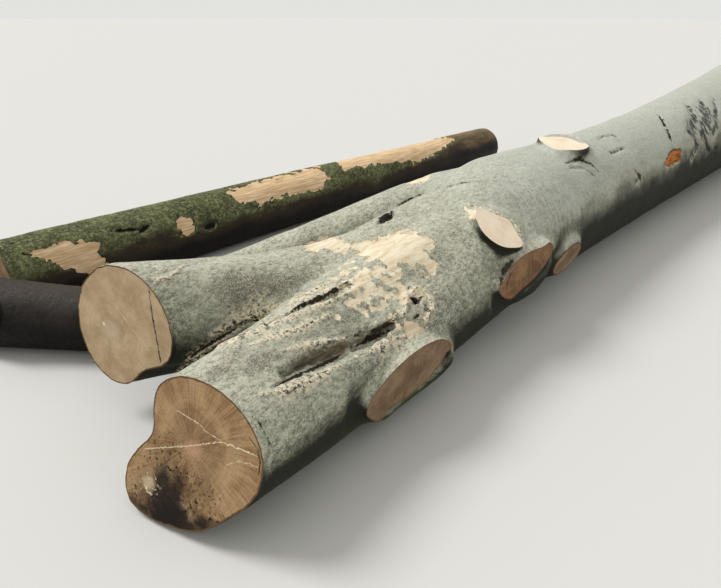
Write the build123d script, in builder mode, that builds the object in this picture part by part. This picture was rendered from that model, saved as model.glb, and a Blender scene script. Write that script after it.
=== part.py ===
"""A heap of three logs: a forked trunk, a mossy log behind it and a short dark log.

X runs along the heap from the sawn stems towards the butt, Y away from the near side and
Z up. The origin is on the ground in the middle of the heap. All sizes are millimetres.
"""
import math
import os
from dataclasses import dataclass, fields

from build123d import *

os.makedirs("parts", exist_ok=True)


@dataclass
class Stub:
    """A sawn limb stub: its place on a log, and the oval of its sawn face.

    The run is from the fork, the bearing is round the log, and the face stands proud of the
    bark by a distance. It is turned about the log's own cross direction by a tilt.
    """

    run: float
    bearing: float
    proud: float
    length: float
    width: float
    tilt: float = 0.0


# The heap
heap_length = 8060.0
seat_gap = 0.3
seat_precision = 0.02
seat_attempts = 24

# Stems and limbs bear on the ground only here and there, and are this far off it between
ground_rise = 3.0

# Bark outlines have this many points, and hollows, grooves, lobes and flats in one spread
# over these bearings on each side
outline_points = 32
hollow_spread = 29.0
groove_spread = 20.0
lobe_spread = 28.0
flat_spread = 34.0

# Bole of the forked trunk: its runs are measured from the butt
bole_y = -780.0
butt_width = 1110.0
butt_height = 1090.0
flare_run = 950.0
flare_diameter = 1000.0
middle_run = 3030.0
middle_diameter = 846.0
upper_run = 4670.0
upper_diameter = 802.0
fork_run = 5640.0
fork_width = 850.0
fork_height = 824.0

# Web of wood that the bole runs out in between the stems
web_run = 400.0
web_y = -800.0
web_z = 365.0
web_width = 720.0
web_height = 700.0
web_end_run = 900.0
web_end_y = -820.0
web_end_z = 330.0
web_end_width = 500.0
web_end_height = 460.0

# Near stem, lying on the ground, with a heart-shaped sawn face. Runs are from the fork.
near_face_run = 2290.0
near_face_y = -1057.0
near_face_z = 272.0
near_face_width = 610.0
near_face_height = 523.0
near_face_yaw = 12.5
near_face_lean = 18.0
near_face_hollow = 133.0
near_hollow_bearing = 7.0
near_face_lobe = 90.0
near_lobe_bearing = -41.0
near_face_flat = 61.0
near_flat_bearing = -144.0
near_groove_depth = 45.0
near_groove_bearing = 118.0
near_stem_run = 1740.0
near_stem_y = -990.0
near_stem_width = 560.0
near_stem_height = 570.0
near_stem_hollow = 60.0
near_stem_yaw = 6.0
near_stem_lean = 4.0
near_neck_run = 800.0
near_neck_y = -900.0
near_neck_width = 650.0
near_neck_height = 660.0
near_neck_groove = 36.0

# Far stem, held clear of the ground by the fork
far_face_run = 2130.0
far_face_y = -340.0
far_face_z = 410.0
far_face_width = 490.0
far_face_height = 560.0
far_face_yaw = 18.4
far_face_lean = 6.0
far_notch_depth = 90.0
far_notch_bearing = -119.0
far_sag_run = 1530.0
far_sag_y = -550.0
far_sag_z = 362.0
far_stem_run = 1090.0
far_stem_y = -700.0
far_stem_z = 382.0
far_stem_width = 510.0
far_stem_height = 500.0
far_stem_notch = 45.0
far_stem_yaw = -10.0
far_neck_run = 500.0
far_neck_y = -700.0
far_neck_z = 402.0
far_neck_width = 600.0
far_neck_height = 570.0

# Back limb, the slim one behind the far stem
limb_end_run = 1500.0
limb_end_y = 80.0
limb_end_z = 245.0
limb_end_diameter = 250.0
limb_bend_run = 950.0
limb_bend_y = -120.0
limb_bend_z = 340.0
limb_bend_diameter = 300.0
limb_root_depth = 390.0
limb_root_y = -660.0
limb_neck_run = 175.0
limb_neck_y = -470.0
limb_neck_z = 510.0
limb_neck_diameter = 400.0
limb_yaw = -20.0

# Both stems start this far inside the bole
root_depth = 300.0

# Sawn limb stubs: a stub's sawn face is an oval that stands this far out of the bark, on a
# collar that is wider by this much all round where it meets the wood
stub_depth = 180.0
collar_growth = 110.0
near_stem_stubs = (
    Stub(run=1430.0, bearing=191.0, proud=30.0, length=480.0, width=215.0),
    Stub(run=410.0, bearing=175.0, proud=68.0, length=430.0, width=240.0, tilt=6.0),
    Stub(run=500.0, bearing=131.0, proud=62.0, length=300.0, width=210.0),
)
bole_stubs = (
    Stub(run=-100.0, bearing=196.0, proud=28.0, length=330.0, width=200.0),
    Stub(run=-620.0, bearing=99.0, proud=34.0, length=280.0, width=220.0),
)

# Mossy log behind the trunk: a 5 m log with its trim
mossy_length = 5100.0
mossy_setback = 2690.0
mossy_y = 1400.0
mossy_drift = -50.0
mossy_bow = 20.0
mossy_top_diameter = 400.0
mossy_butt_diameter = 432.0
mossy_stations = 8

# Short dark log on the ground beside the far stem, with a slanting felling cut
dark_length = 1400.0
dark_end_run = 1860.0
dark_end_y = 170.0
dark_yaw = -53.0
dark_butt_diameter = 390.0
dark_top_diameter = 305.0
dark_flare = 1.6
dark_stations = 5
dark_cut_run = 2335.0
dark_cut_yaw = 3.0
dark_cut_lean = 21.0


@dataclass
class Station:
    """One cross-section of a log: its middle, its oval, the dents and lobe of that oval, and
    how it is turned.
    """

    x: float
    y: float
    z: float
    width: float
    height: float
    yaw: float = 0.0
    lean: float = 0.0
    hollow: float = 0.0
    hollow_bearing: float = 0.0
    groove: float = 0.0
    groove_bearing: float = 0.0
    lobe: float = 0.0
    lobe_bearing: float = 0.0
    flat: float = 0.0
    flat_bearing: float = 0.0

    def plane(self):
        """Plane across the log: its normal runs along the log towards the butt."""
        turn = math.radians(self.yaw)
        tip = math.radians(self.lean)
        normal = (math.cos(turn) * math.cos(tip), math.sin(turn) * math.cos(tip), -math.sin(tip))
        middle = (self.x, self.y, self.z)
        return Plane(origin=middle, x_dir=(-math.sin(turn), math.cos(turn), 0.0), z_dir=normal)

    def outline(self):
        """Points of the bark's oval, with its dents and its lobe at their bearings in degrees."""
        points = []
        for index in range(outline_points):
            angle = 360.0 * index / outline_points
            turn = math.radians(angle)
            reach = 1.0 / math.hypot(
                math.cos(turn) / (self.width / 2.0), math.sin(turn) / (self.height / 2.0)
            )
            reach -= dent(self.hollow, angle - self.hollow_bearing, hollow_spread)
            reach -= dent(self.groove, angle - self.groove_bearing, groove_spread)
            reach += dent(self.lobe, angle - self.lobe_bearing, lobe_spread)
            reach -= dent(self.flat, angle - self.flat_bearing, flat_spread)
            points.append((reach * math.cos(turn), reach * math.sin(turn)))
        return points


def dent(depth, off_bearing, spread):
    """Depth of a soft dent or lobe at an angle off its own bearing."""
    away = (off_bearing + 180.0) % 360.0 - 180.0
    return depth * math.exp(-((away / spread) ** 2))


def eased(before, start, end, after, share):
    """Value of the smooth curve through four spaced values, between the middle two."""
    slope_in = (end - before) / 2.0
    slope_out = (after - start) / 2.0
    square, cube = share**2, share**3
    return (
        (2.0 * cube - 3.0 * square + 1.0) * start
        + (cube - 2.0 * square + share) * slope_in
        + (3.0 * square - 2.0 * cube) * end
        + (cube - square) * slope_out
    )


def refined(stations, steps):
    """The stations with smooth ones added between them, so that straight lofts look curved."""
    result = [stations[0]]
    for index in range(len(stations) - 1):
        start, end = stations[index], stations[index + 1]
        before = stations[max(index - 1, 0)]
        after = stations[min(index + 2, len(stations) - 1)]
        for step in range(1, steps + 1):
            share = step / steps
            values = {
                field.name: eased(
                    getattr(before, field.name), getattr(start, field.name),
                    getattr(end, field.name), getattr(after, field.name), share,
                )
                for field in fields(Station)
            }
            result.append(Station(**values))
    return result


def section_at(stations, x):
    """The log's own section where it passes a place along the heap."""
    for start, end in zip(stations, stations[1:]):
        if min(start.x, end.x) <= x <= max(start.x, end.x):
            share = (x - start.x) / (end.x - start.x)
            values = {
                field.name: getattr(start, field.name) * (1.0 - share)
                + getattr(end, field.name) * share
                for field in fields(Station)
            }
            return Station(**values)
    return stations[-1]


def stub_plane(stub, stations):
    """Plane of a stub's sawn face, with its normal out of the log."""
    here = section_at(stations, fork_x - stub.run)
    turn = math.radians(stub.bearing)
    tip = math.radians(stub.tilt)
    across, up = math.cos(turn), math.sin(turn)
    bark = 1.0 / math.hypot(across / (here.width / 2.0), up / (here.height / 2.0))
    reach = bark + stub.proud
    middle = (here.x, here.y + reach * across, here.z + reach * up)
    outward = (-math.sin(tip), math.cos(tip) * across, math.cos(tip) * up)
    along = (math.cos(tip), math.sin(tip) * across, math.sin(tip) * up)
    return Plane(origin=middle, x_dir=along, z_dir=outward)


def round_station(x, y, diameter, rise=0.0):
    """A round section whose underside is a rise above the ground."""
    return Station(x, y, diameter / 2.0 + rise, diameter, diameter)


def rolled_up_to(log, neighbour, way, gap):
    """The log, moved along a way until it lies a gap off its neighbour."""
    for _ in range(seat_attempts):
        spare = log.distance_to(neighbour) - gap
        if abs(spare) < seat_precision:
            break
        log = log.moved(Location(way * spare))
    return log


butt_x = heap_length / 2.0
fork_x = butt_x - fork_run

# Bole: from the butt into the fork, resting on the ground
bole_stations = refined(
    [
        Station(butt_x, bole_y, butt_height / 2.0, butt_width, butt_height),
        round_station(butt_x - flare_run, bole_y, flare_diameter),
        round_station(butt_x - middle_run, bole_y, middle_diameter),
        round_station(butt_x - upper_run, bole_y, upper_diameter),
        Station(fork_x, bole_y, fork_height / 2.0, fork_width, fork_height),
        Station(fork_x - web_run, web_y, web_z, web_width, web_height),
        Station(fork_x - web_end_run, web_end_y, web_end_z, web_end_width, web_end_height),
    ],
    2,
)
with BuildPart() as bole:
    for station in bole_stations:
        with BuildSketch(station.plane()):
            with BuildLine():
                Polyline(*station.outline(), close=True)
            make_face()
    loft(ruled=True)

# Near stem: from inside the fork along the ground to its sawn face
near_stations = refined(
    [
        Station(
            fork_x + root_depth, bole_y, near_neck_height / 2.0 + 2.0 * ground_rise,
            near_neck_width, near_neck_height,
        ),
        Station(
            fork_x - near_neck_run, near_neck_y, near_neck_height / 2.0 + ground_rise,
            near_neck_width, near_neck_height, yaw=near_stem_yaw,
            hollow_bearing=near_hollow_bearing,
            groove=near_neck_groove, groove_bearing=near_groove_bearing,
            lobe_bearing=near_lobe_bearing, flat_bearing=near_flat_bearing,
        ),
        Station(
            fork_x - near_stem_run, near_stem_y, near_stem_height / 2.0 + ground_rise,
            near_stem_width, near_stem_height, yaw=near_stem_yaw, lean=near_stem_lean,
            hollow=near_stem_hollow, hollow_bearing=near_hollow_bearing,
            groove=near_groove_depth, groove_bearing=near_groove_bearing,
            lobe_bearing=near_lobe_bearing, flat_bearing=near_flat_bearing,
        ),
        Station(
            fork_x - near_face_run, near_face_y, near_face_z,
            near_face_width, near_face_height, yaw=near_face_yaw, lean=near_face_lean,
            hollow=near_face_hollow, hollow_bearing=near_hollow_bearing,
            groove_bearing=near_groove_bearing,
            lobe=near_face_lobe, lobe_bearing=near_lobe_bearing,
            flat=near_face_flat, flat_bearing=near_flat_bearing,
        ),
    ],
    3,
)
with BuildPart() as near_stem:
    for station in near_stations:
        with BuildSketch(station.plane()):
            with BuildLine():
                Polyline(*station.outline(), close=True)
            make_face()
    loft(ruled=True)

# Far stem: from inside the fork to its sawn face above the ground
far_stations = refined(
    [
        Station(fork_x + root_depth, bole_y, fork_height / 2.0, far_neck_width, far_neck_height),
        Station(
            fork_x - far_neck_run, far_neck_y, far_neck_z, far_neck_width, far_neck_height,
            hollow_bearing=far_notch_bearing,
        ),
        Station(
            fork_x - far_stem_run, far_stem_y, far_stem_z, far_stem_width, far_stem_height,
            yaw=far_stem_yaw, hollow_bearing=far_notch_bearing,
        ),
        Station(
            fork_x - far_sag_run, far_sag_y, far_sag_z, far_stem_width, far_stem_height,
            yaw=far_stem_yaw, hollow=far_stem_notch, hollow_bearing=far_notch_bearing,
        ),
        Station(
            fork_x - far_face_run, far_face_y, far_face_z, far_face_width, far_face_height,
            yaw=far_face_yaw, lean=far_face_lean,
            hollow=far_notch_depth, hollow_bearing=far_notch_bearing,
        ),
    ],
    2,
)
with BuildPart() as far_stem:
    for station in far_stations:
        with BuildSketch(station.plane()):
            with BuildLine():
                Polyline(*station.outline(), close=True)
            make_face()
    loft(ruled=True)

# Back limb: leaves the top of the bole and drops behind the far stem
limb_stations = refined(
    [
        Station(
            fork_x + limb_root_depth, limb_root_y, limb_neck_z, limb_neck_diameter,
            limb_neck_diameter, yaw=limb_yaw,
        ),
        Station(
            fork_x - limb_neck_run, limb_neck_y, limb_neck_z, limb_neck_diameter,
            limb_neck_diameter, yaw=limb_yaw,
        ),
        Station(
            fork_x - limb_bend_run, limb_bend_y, limb_bend_z, limb_bend_diameter,
            limb_bend_diameter, yaw=limb_yaw,
        ),
        Station(
            fork_x - limb_end_run, limb_end_y, limb_end_z, limb_end_diameter,
            limb_end_diameter, yaw=limb_yaw,
        ),
    ],
    3,
)
with BuildPart() as back_limb:
    for station in limb_stations:
        with BuildSketch(station.plane()):
            with BuildLine():
                Polyline(*station.outline(), close=True)
            make_face()
    loft(ruled=True)


# Sawn stubs of limbs, each an oval face on a wider collar
stub_faces = [stub_plane(stub, near_stations) for stub in near_stem_stubs]
stub_faces += [stub_plane(stub, bole_stations) for stub in bole_stubs]
with BuildPart() as stub_collars:
    for stub, face in zip(near_stem_stubs + bole_stubs, stub_faces):
        with BuildSketch(face):
            Ellipse(stub.length / 2.0, stub.width / 2.0)
        with BuildSketch(face.offset(-stub_depth)):
            Ellipse(stub.length / 2.0 + collar_growth, stub.width / 2.0 + collar_growth)
        loft(ruled=True)

# The whole trunk is one piece of wood, and its lowest point touches the ground
with BuildPart() as felled_tree:
    add([bole.part, near_stem.part, far_stem.part, back_limb.part, stub_collars.part])

with BuildPart() as forked_trunk:
    add(felled_tree.part.moved(Location((0.0, 0.0, -felled_tree.part.bounding_box().min.Z))))

forked_trunk.part.label = "forked_trunk"
export_step(forked_trunk.part, "parts/forked_trunk.step")

# Dark log: short, with a flared butt that was felled on a slant. It lies with its top end
# against the flank of the far stem.
dark_turn = math.radians(dark_yaw)
dark_way = Vector(math.cos(dark_turn), math.sin(dark_turn), 0.0)
with BuildPart() as dark_blank:
    for number in range(dark_stations):
        share = number / (dark_stations - 1)
        diameter = dark_top_diameter + share**dark_flare * (dark_butt_diameter - dark_top_diameter)
        start = Vector(fork_x - dark_end_run, dark_end_y, diameter / 2.0)
        middle = start - dark_way * (share * dark_length)
        station = Station(middle.X, middle.Y, middle.Z, diameter, diameter, yaw=dark_yaw)
        with BuildSketch(station.plane()):
            with BuildLine():
                Polyline(*station.outline(), close=True)
            make_face()
    loft(ruled=True)

dark_cut = Station(
    fork_x - dark_cut_run, dark_end_y, dark_butt_diameter / 2.0,
    dark_butt_diameter, dark_butt_diameter, yaw=dark_cut_yaw, lean=dark_cut_lean,
)
with BuildPart() as dark_log:
    add(rolled_up_to(dark_blank.part, forked_trunk.part, dark_way, seat_gap))
    split(bisect_by=dark_cut.plane(), keep=Keep.TOP)

dark_log.part.label = "dark_log"
export_step(dark_log.part, "parts/dark_log.step")

# Mossy log: a bowed log that tapers from its butt to its sawn top end. It lies behind the
# trunk, against the felled end of the dark log.
with BuildPart() as mossy_blank:
    for number in range(mossy_stations):
        share = number / (mossy_stations - 1)
        diameter = mossy_top_diameter + share * (mossy_butt_diameter - mossy_top_diameter)
        bow = mossy_bow * (1.0 - (2.0 * share - 1.0) ** 2)
        station = round_station(
            butt_x - mossy_setback - share * mossy_length, mossy_y + share * mossy_drift + bow, diameter
        )
        with BuildSketch(station.plane()):
            with BuildLine():
                Polyline(*station.outline(), close=True)
            make_face()
    loft(ruled=True)

with BuildPart() as mossy_log:
    add(rolled_up_to(mossy_blank.part, dark_log.part, Vector(0.0, -1.0, 0.0), seat_gap))

mossy_log.part.label = "mossy_log"
export_step(mossy_log.part, "parts/mossy_log.step")
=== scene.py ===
"""Dresses a heap of three logs: a forked trunk, a mossy log and a short dark log.

The wood's shape comes from the frame. Each log's solid is turned into an even skin, cut
crisp again where it was sawn, carved where the bark has cracks, folds, knots and bare
patches, and finished with procedural bark and sawn wood. Lengths are metres.
"""
import logging
import math
from collections.abc import Callable, Iterable
from dataclasses import dataclass
from enum import Enum

import bmesh
import bpy
import numpy as np
from mathutils import Matrix, Vector, noise
from mathutils.bvhtree import BVHTree


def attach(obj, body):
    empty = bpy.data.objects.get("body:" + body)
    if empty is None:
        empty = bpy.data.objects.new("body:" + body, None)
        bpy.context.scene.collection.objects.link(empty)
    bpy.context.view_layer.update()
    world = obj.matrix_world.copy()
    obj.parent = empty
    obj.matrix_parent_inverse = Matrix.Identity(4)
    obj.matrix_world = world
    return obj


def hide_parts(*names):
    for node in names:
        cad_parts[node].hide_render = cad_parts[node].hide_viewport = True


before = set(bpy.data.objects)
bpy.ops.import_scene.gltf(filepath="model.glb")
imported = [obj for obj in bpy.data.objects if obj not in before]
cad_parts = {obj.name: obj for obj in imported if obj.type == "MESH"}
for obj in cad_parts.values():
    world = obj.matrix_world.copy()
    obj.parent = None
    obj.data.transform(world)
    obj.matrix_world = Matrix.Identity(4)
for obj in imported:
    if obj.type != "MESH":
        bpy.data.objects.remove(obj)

log = logging.getLogger("logs")

Pixel = tuple[float, float]
Point = tuple[float, float, float]
Colour = tuple[float, float, float, float]
Socket = bpy.types.NodeSocket
Sockets = bpy.types.bpy_prop_collection


def tone(red: int, green: int, blue: int) -> Colour:
    """A screen colour, from 0 to 255, as the linear colour that a shader socket takes.

    Args:
        red: Red part.
        green: Green part.
        blue: Blue part.

    Returns:
        The linear colour with full alpha.
    """
    parts = []
    for part in (red, green, blue):
        share = part / 255.0
        parts.append(share / 12.92 if share <= 0.04045 else ((share + 0.055) / 1.055) ** 2.4)
    return (parts[0], parts[1], parts[2], 1.0)


class Mark(Enum):
    """Point attributes that the relief writes and the bark materials read."""

    BARE = "bare"
    CRACK = "crack"
    FLAKY = "flaky"
    SCAR = "scar"
    SCUFF = "scuff"
    DULL = "dull"
    TORN = "torn"
    GULLY = "gully"
    RIM = "rim"


@dataclass(frozen=True)
class Viewpoint:
    """Where the heap is seen from. Pixels count from the picture's top left corner."""

    place: Point = (-4.62, -2.45, 1.55)
    forward: Point = (0.66651, 0.61075, -0.42749)
    width_px: float = 721.0
    height_px: float = 588.0
    focal_px: float = 590.0
    sensor_mm: float = 36.0

    def axes(self) -> tuple[Vector, Vector, Vector]:
        """Directions to the picture's right, to its top and into it."""
        into = Vector(self.forward).normalized()
        right = into.cross(Vector((0.0, 0.0, 1.0))).normalized()
        return right, right.cross(into), into

    def ray(self, pixel: Pixel) -> Vector:
        """Direction in which a pixel looks.

        Args:
            pixel: Place in the picture.

        Returns:
            A unit vector.
        """
        right, up, into = self.axes()
        across = (pixel[0] - self.width_px / 2.0) / self.focal_px
        rise = (self.height_px / 2.0 - pixel[1]) / self.focal_px
        return (into + right * across + up * rise).normalized()

    def project(self, points: np.ndarray) -> tuple[np.ndarray, np.ndarray]:
        """Pixels and depths of points.

        Args:
            points: Points in the frame, one a row.

        Returns:
            Their pixels, one a row, and their depths.
        """
        right, up, into = (np.array(axis) for axis in self.axes())
        away = points - np.array(self.place)
        depth = away @ into
        across = self.width_px / 2.0 + self.focal_px * (away @ right) / depth
        down = self.height_px / 2.0 - self.focal_px * (away @ up) / depth
        return np.stack((across, down), axis=1), depth

    def camera(self) -> bpy.types.Object:
        """Sets up the scene's camera at the viewpoint.

        Returns:
            The camera object.
        """
        right, up, into = self.axes()
        data = bpy.data.cameras.new("view")
        data.sensor_width = self.sensor_mm
        data.lens = self.sensor_mm * self.focal_px / self.width_px
        data.clip_end = 1000.0
        camera = bpy.data.objects.new("view", data)
        bpy.context.collection.objects.link(camera)
        turn = Matrix((right, up, -into)).transposed().to_4x4()
        camera.matrix_world = Matrix.Translation(Vector(self.place)) @ turn
        bpy.context.scene.camera = camera
        return camera


VIEW = Viewpoint()


def trail(*numbers: float) -> tuple[Pixel, ...]:
    """Pixels of the picture, in order, out of their numbers across and down in turn."""
    return tuple((float(across), float(down)) for across, down in zip(numbers[::2], numbers[1::2]))


# Name of the map that lays the flat coordinates out on a sawn face
SHEET_LAYER = "sawn"

# A carved line is this much narrower at its ends than in its middle
TAPER = 0.35

# Pattern of ragged edges: its bumps against a line's width, its bumps on a patch, how near
# the edge it is worked out, and its shift from one line or patch to the next
LINE_BUMPS, PATCH_BUMPS = 1.4, 0.05
LINE_REACH, PATCH_REACH = 3.0, 0.2
LINE_SHIFT, PATCH_SHIFT = 3.7, 5.1

# Skin that faces away from the viewpoint by more than this is in no patch
TURNED_AWAY = -0.15

# A sawn face is looked for this near its place. It has at least this area, and this area
# against the square of its reach
FACE_NEAR, FACE_AREA, FACE_FILL = 0.9, 0.02, 0.7

# A saw cut reaches this far past its face, at least this far behind it, and its new face
# lies this level and this square
CUT_REACH, CUT_BACK, CUT_LEVEL, CUT_SQUARE = 0.15, 0.008, 0.001, 0.99

# Width of the even rim inside a sawn face's edge
RIM_WIDTH = 0.012

# The relief fades out over this height above the ground, this far round a sawn face, and it
# keeps this far off the face
GROUND_GAP, GROUND_FADE = 0.01, 0.08
FACE_ROUND, FACE_FADE, FACE_GAP = 0.05, 0.06, 0.004

# Steps in which weights are written
WEIGHT_STEPS = 64


class Bench:
    """A node tree being put together."""

    def __init__(self, tree: bpy.types.NodeTree) -> None:
        """Starts work on a tree."""
        self.tree = tree

    def feed(self, node: bpy.types.Node, name: str | int, value: object) -> None:
        """Joins a socket to a node's input, or sets the input to a value.

        Args:
            node: The node.
            name: The input's name or number.
            value: Socket or value.
        """
        if isinstance(value, Socket):
            self.tree.links.new(value, node.inputs[name])
        else:
            node.inputs[name].default_value = value

    def put(self, kind: str, inputs: dict | None = None, **settings: object) -> bpy.types.Node:
        """Adds a node.

        Args:
            kind: The node's type without its ShaderNode start.
            inputs: Values or sockets by input name or number.
            settings: Properties of the node.

        Returns:
            The node.
        """
        node = self.tree.nodes.new("ShaderNode" + kind)
        for name, value in settings.items():
            setattr(node, name, value)
        for name, value in (inputs or {}).items():
            self.feed(node, name, value)
        return node

    def use(self, tree: bpy.types.NodeTree, inputs: dict) -> Sockets:
        """Outputs of a shared group that is fed with inputs by name."""
        return self.put("Group", inputs, node_tree=tree).outputs

    def math(self, operation: str, first: object, second: object = 0.0) -> Socket:
        """Result of a named sum of two numbers or sockets."""
        return self.put("Math", {0: first, 1: second}, operation=operation).outputs[0]

    def plus(self, first: object, second: object) -> Socket:
        """First number with the second added."""
        return self.math("ADD", first, second)

    def minus(self, first: object, second: object) -> Socket:
        """First number less the second."""
        return self.math("SUBTRACT", first, second)

    def times(self, first: object, second: object) -> Socket:
        """Product of two numbers."""
        return self.math("MULTIPLY", first, second)

    def over(self, first: object, second: object) -> Socket:
        """First number divided by the second."""
        return self.math("DIVIDE", first, second)

    def blend(self, share: object, low: object, high: object) -> Socket:
        """Mix of two colours, with the share of the second."""
        return self.put("Mix", {0: share, 6: low, 7: high}, data_type="RGBA").outputs[2]

    def ramp(self, value: object, start: float, end: float, low: float = 0.0,
             high: float = 1.0) -> Socket:
        """A number eased from low at the start to high at the end, and level beyond both."""
        places = {"Value": value, "From Min": start, "From Max": end, "To Min": low, "To Max": high}
        return self.put("MapRange", places, interpolation_type="SMOOTHSTEP").outputs[0]

    def stretch(self, place: Socket, scale: Point, turn: Point = (0.0, 0.0, 0.0)) -> Socket:
        """Coordinates scaled along and turned about each axis, by degrees."""
        angles = tuple(math.radians(angle) for angle in turn)
        return self.put("Mapping", {"Vector": place, "Rotation": angles, "Scale": scale}).outputs[0]

    def cloud(self, place: Socket, scale: object, detail: float = 4.0, rough: float = 0.55,
              warp: float = 0.0) -> Socket:
        """Adds a noise pattern.

        Args:
            place: Coordinates.
            scale: Bumps to the metre.
            detail: Octaves.
            rough: Strength of the finer octaves.
            warp: Distortion.

        Returns:
            The socket of a number around one half.
        """
        values = {"Vector": place, "Scale": scale, "Detail": detail, "Roughness": rough}
        return self.put("TexNoise", {**values, "Distortion": warp}).outputs[0]

    def waver(self, place: Socket, scale: object, detail: float = 4.0, rough: float = 0.55) -> Socket:
        """A cloud around zero instead of one half."""
        return self.minus(self.cloud(place, scale, detail, rough), 0.5)

    def swing(self, pattern: Socket, width: float) -> Socket:
        """A pattern around one half, brought around zero and widened."""
        return self.times(self.minus(pattern, 0.5), width)

    def mark(self, which: Mark) -> Socket:
        """Value of a point attribute of the piece."""
        return self.put("Attribute", attribute_name=which.value).outputs["Fac"]

    def place(self) -> Socket:
        """Object coordinates."""
        return self.put("TexCoord").outputs["Object"]

    def part(self, vector: Socket, axis: str) -> Socket:
        """One part of a vector."""
        return self.put("SeparateXYZ", {0: vector}).outputs[axis]

    def span(self, vector: Socket) -> Socket:
        """Length of a vector."""
        return self.put("VectorMath", {0: vector}, operation="LENGTH").outputs["Value"]

    def facing(self) -> Socket:
        """How far the surface faces up, from -1 to 1."""
        return self.part(self.put("NewGeometry").outputs["Normal"], "Z")


def group(name: str, inputs: dict[str, tuple[str, object]], outputs: dict[str, str]) -> tuple:
    """Starts a shader node group.

    Args:
        name: The group's name.
        inputs: Type and start value of each input by name.
        outputs: Type of each output by name.

    Returns:
        The group's tree, its bench, its input sockets and its output node.
    """
    tree = bpy.data.node_groups.new(name, "ShaderNodeTree")
    for label, (kind, start) in inputs.items():
        socket = tree.interface.new_socket(label, in_out="INPUT", socket_type="NodeSocket" + kind)
        if start is not None:
            socket.default_value = start
    for label, kind in outputs.items():
        tree.interface.new_socket(label, in_out="OUTPUT", socket_type="NodeSocket" + kind)
    bench = Bench(tree)
    entry = tree.nodes.new("NodeGroupInput")
    exit_node = tree.nodes.new("NodeGroupOutput")
    return tree, bench, entry.outputs, exit_node


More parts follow.
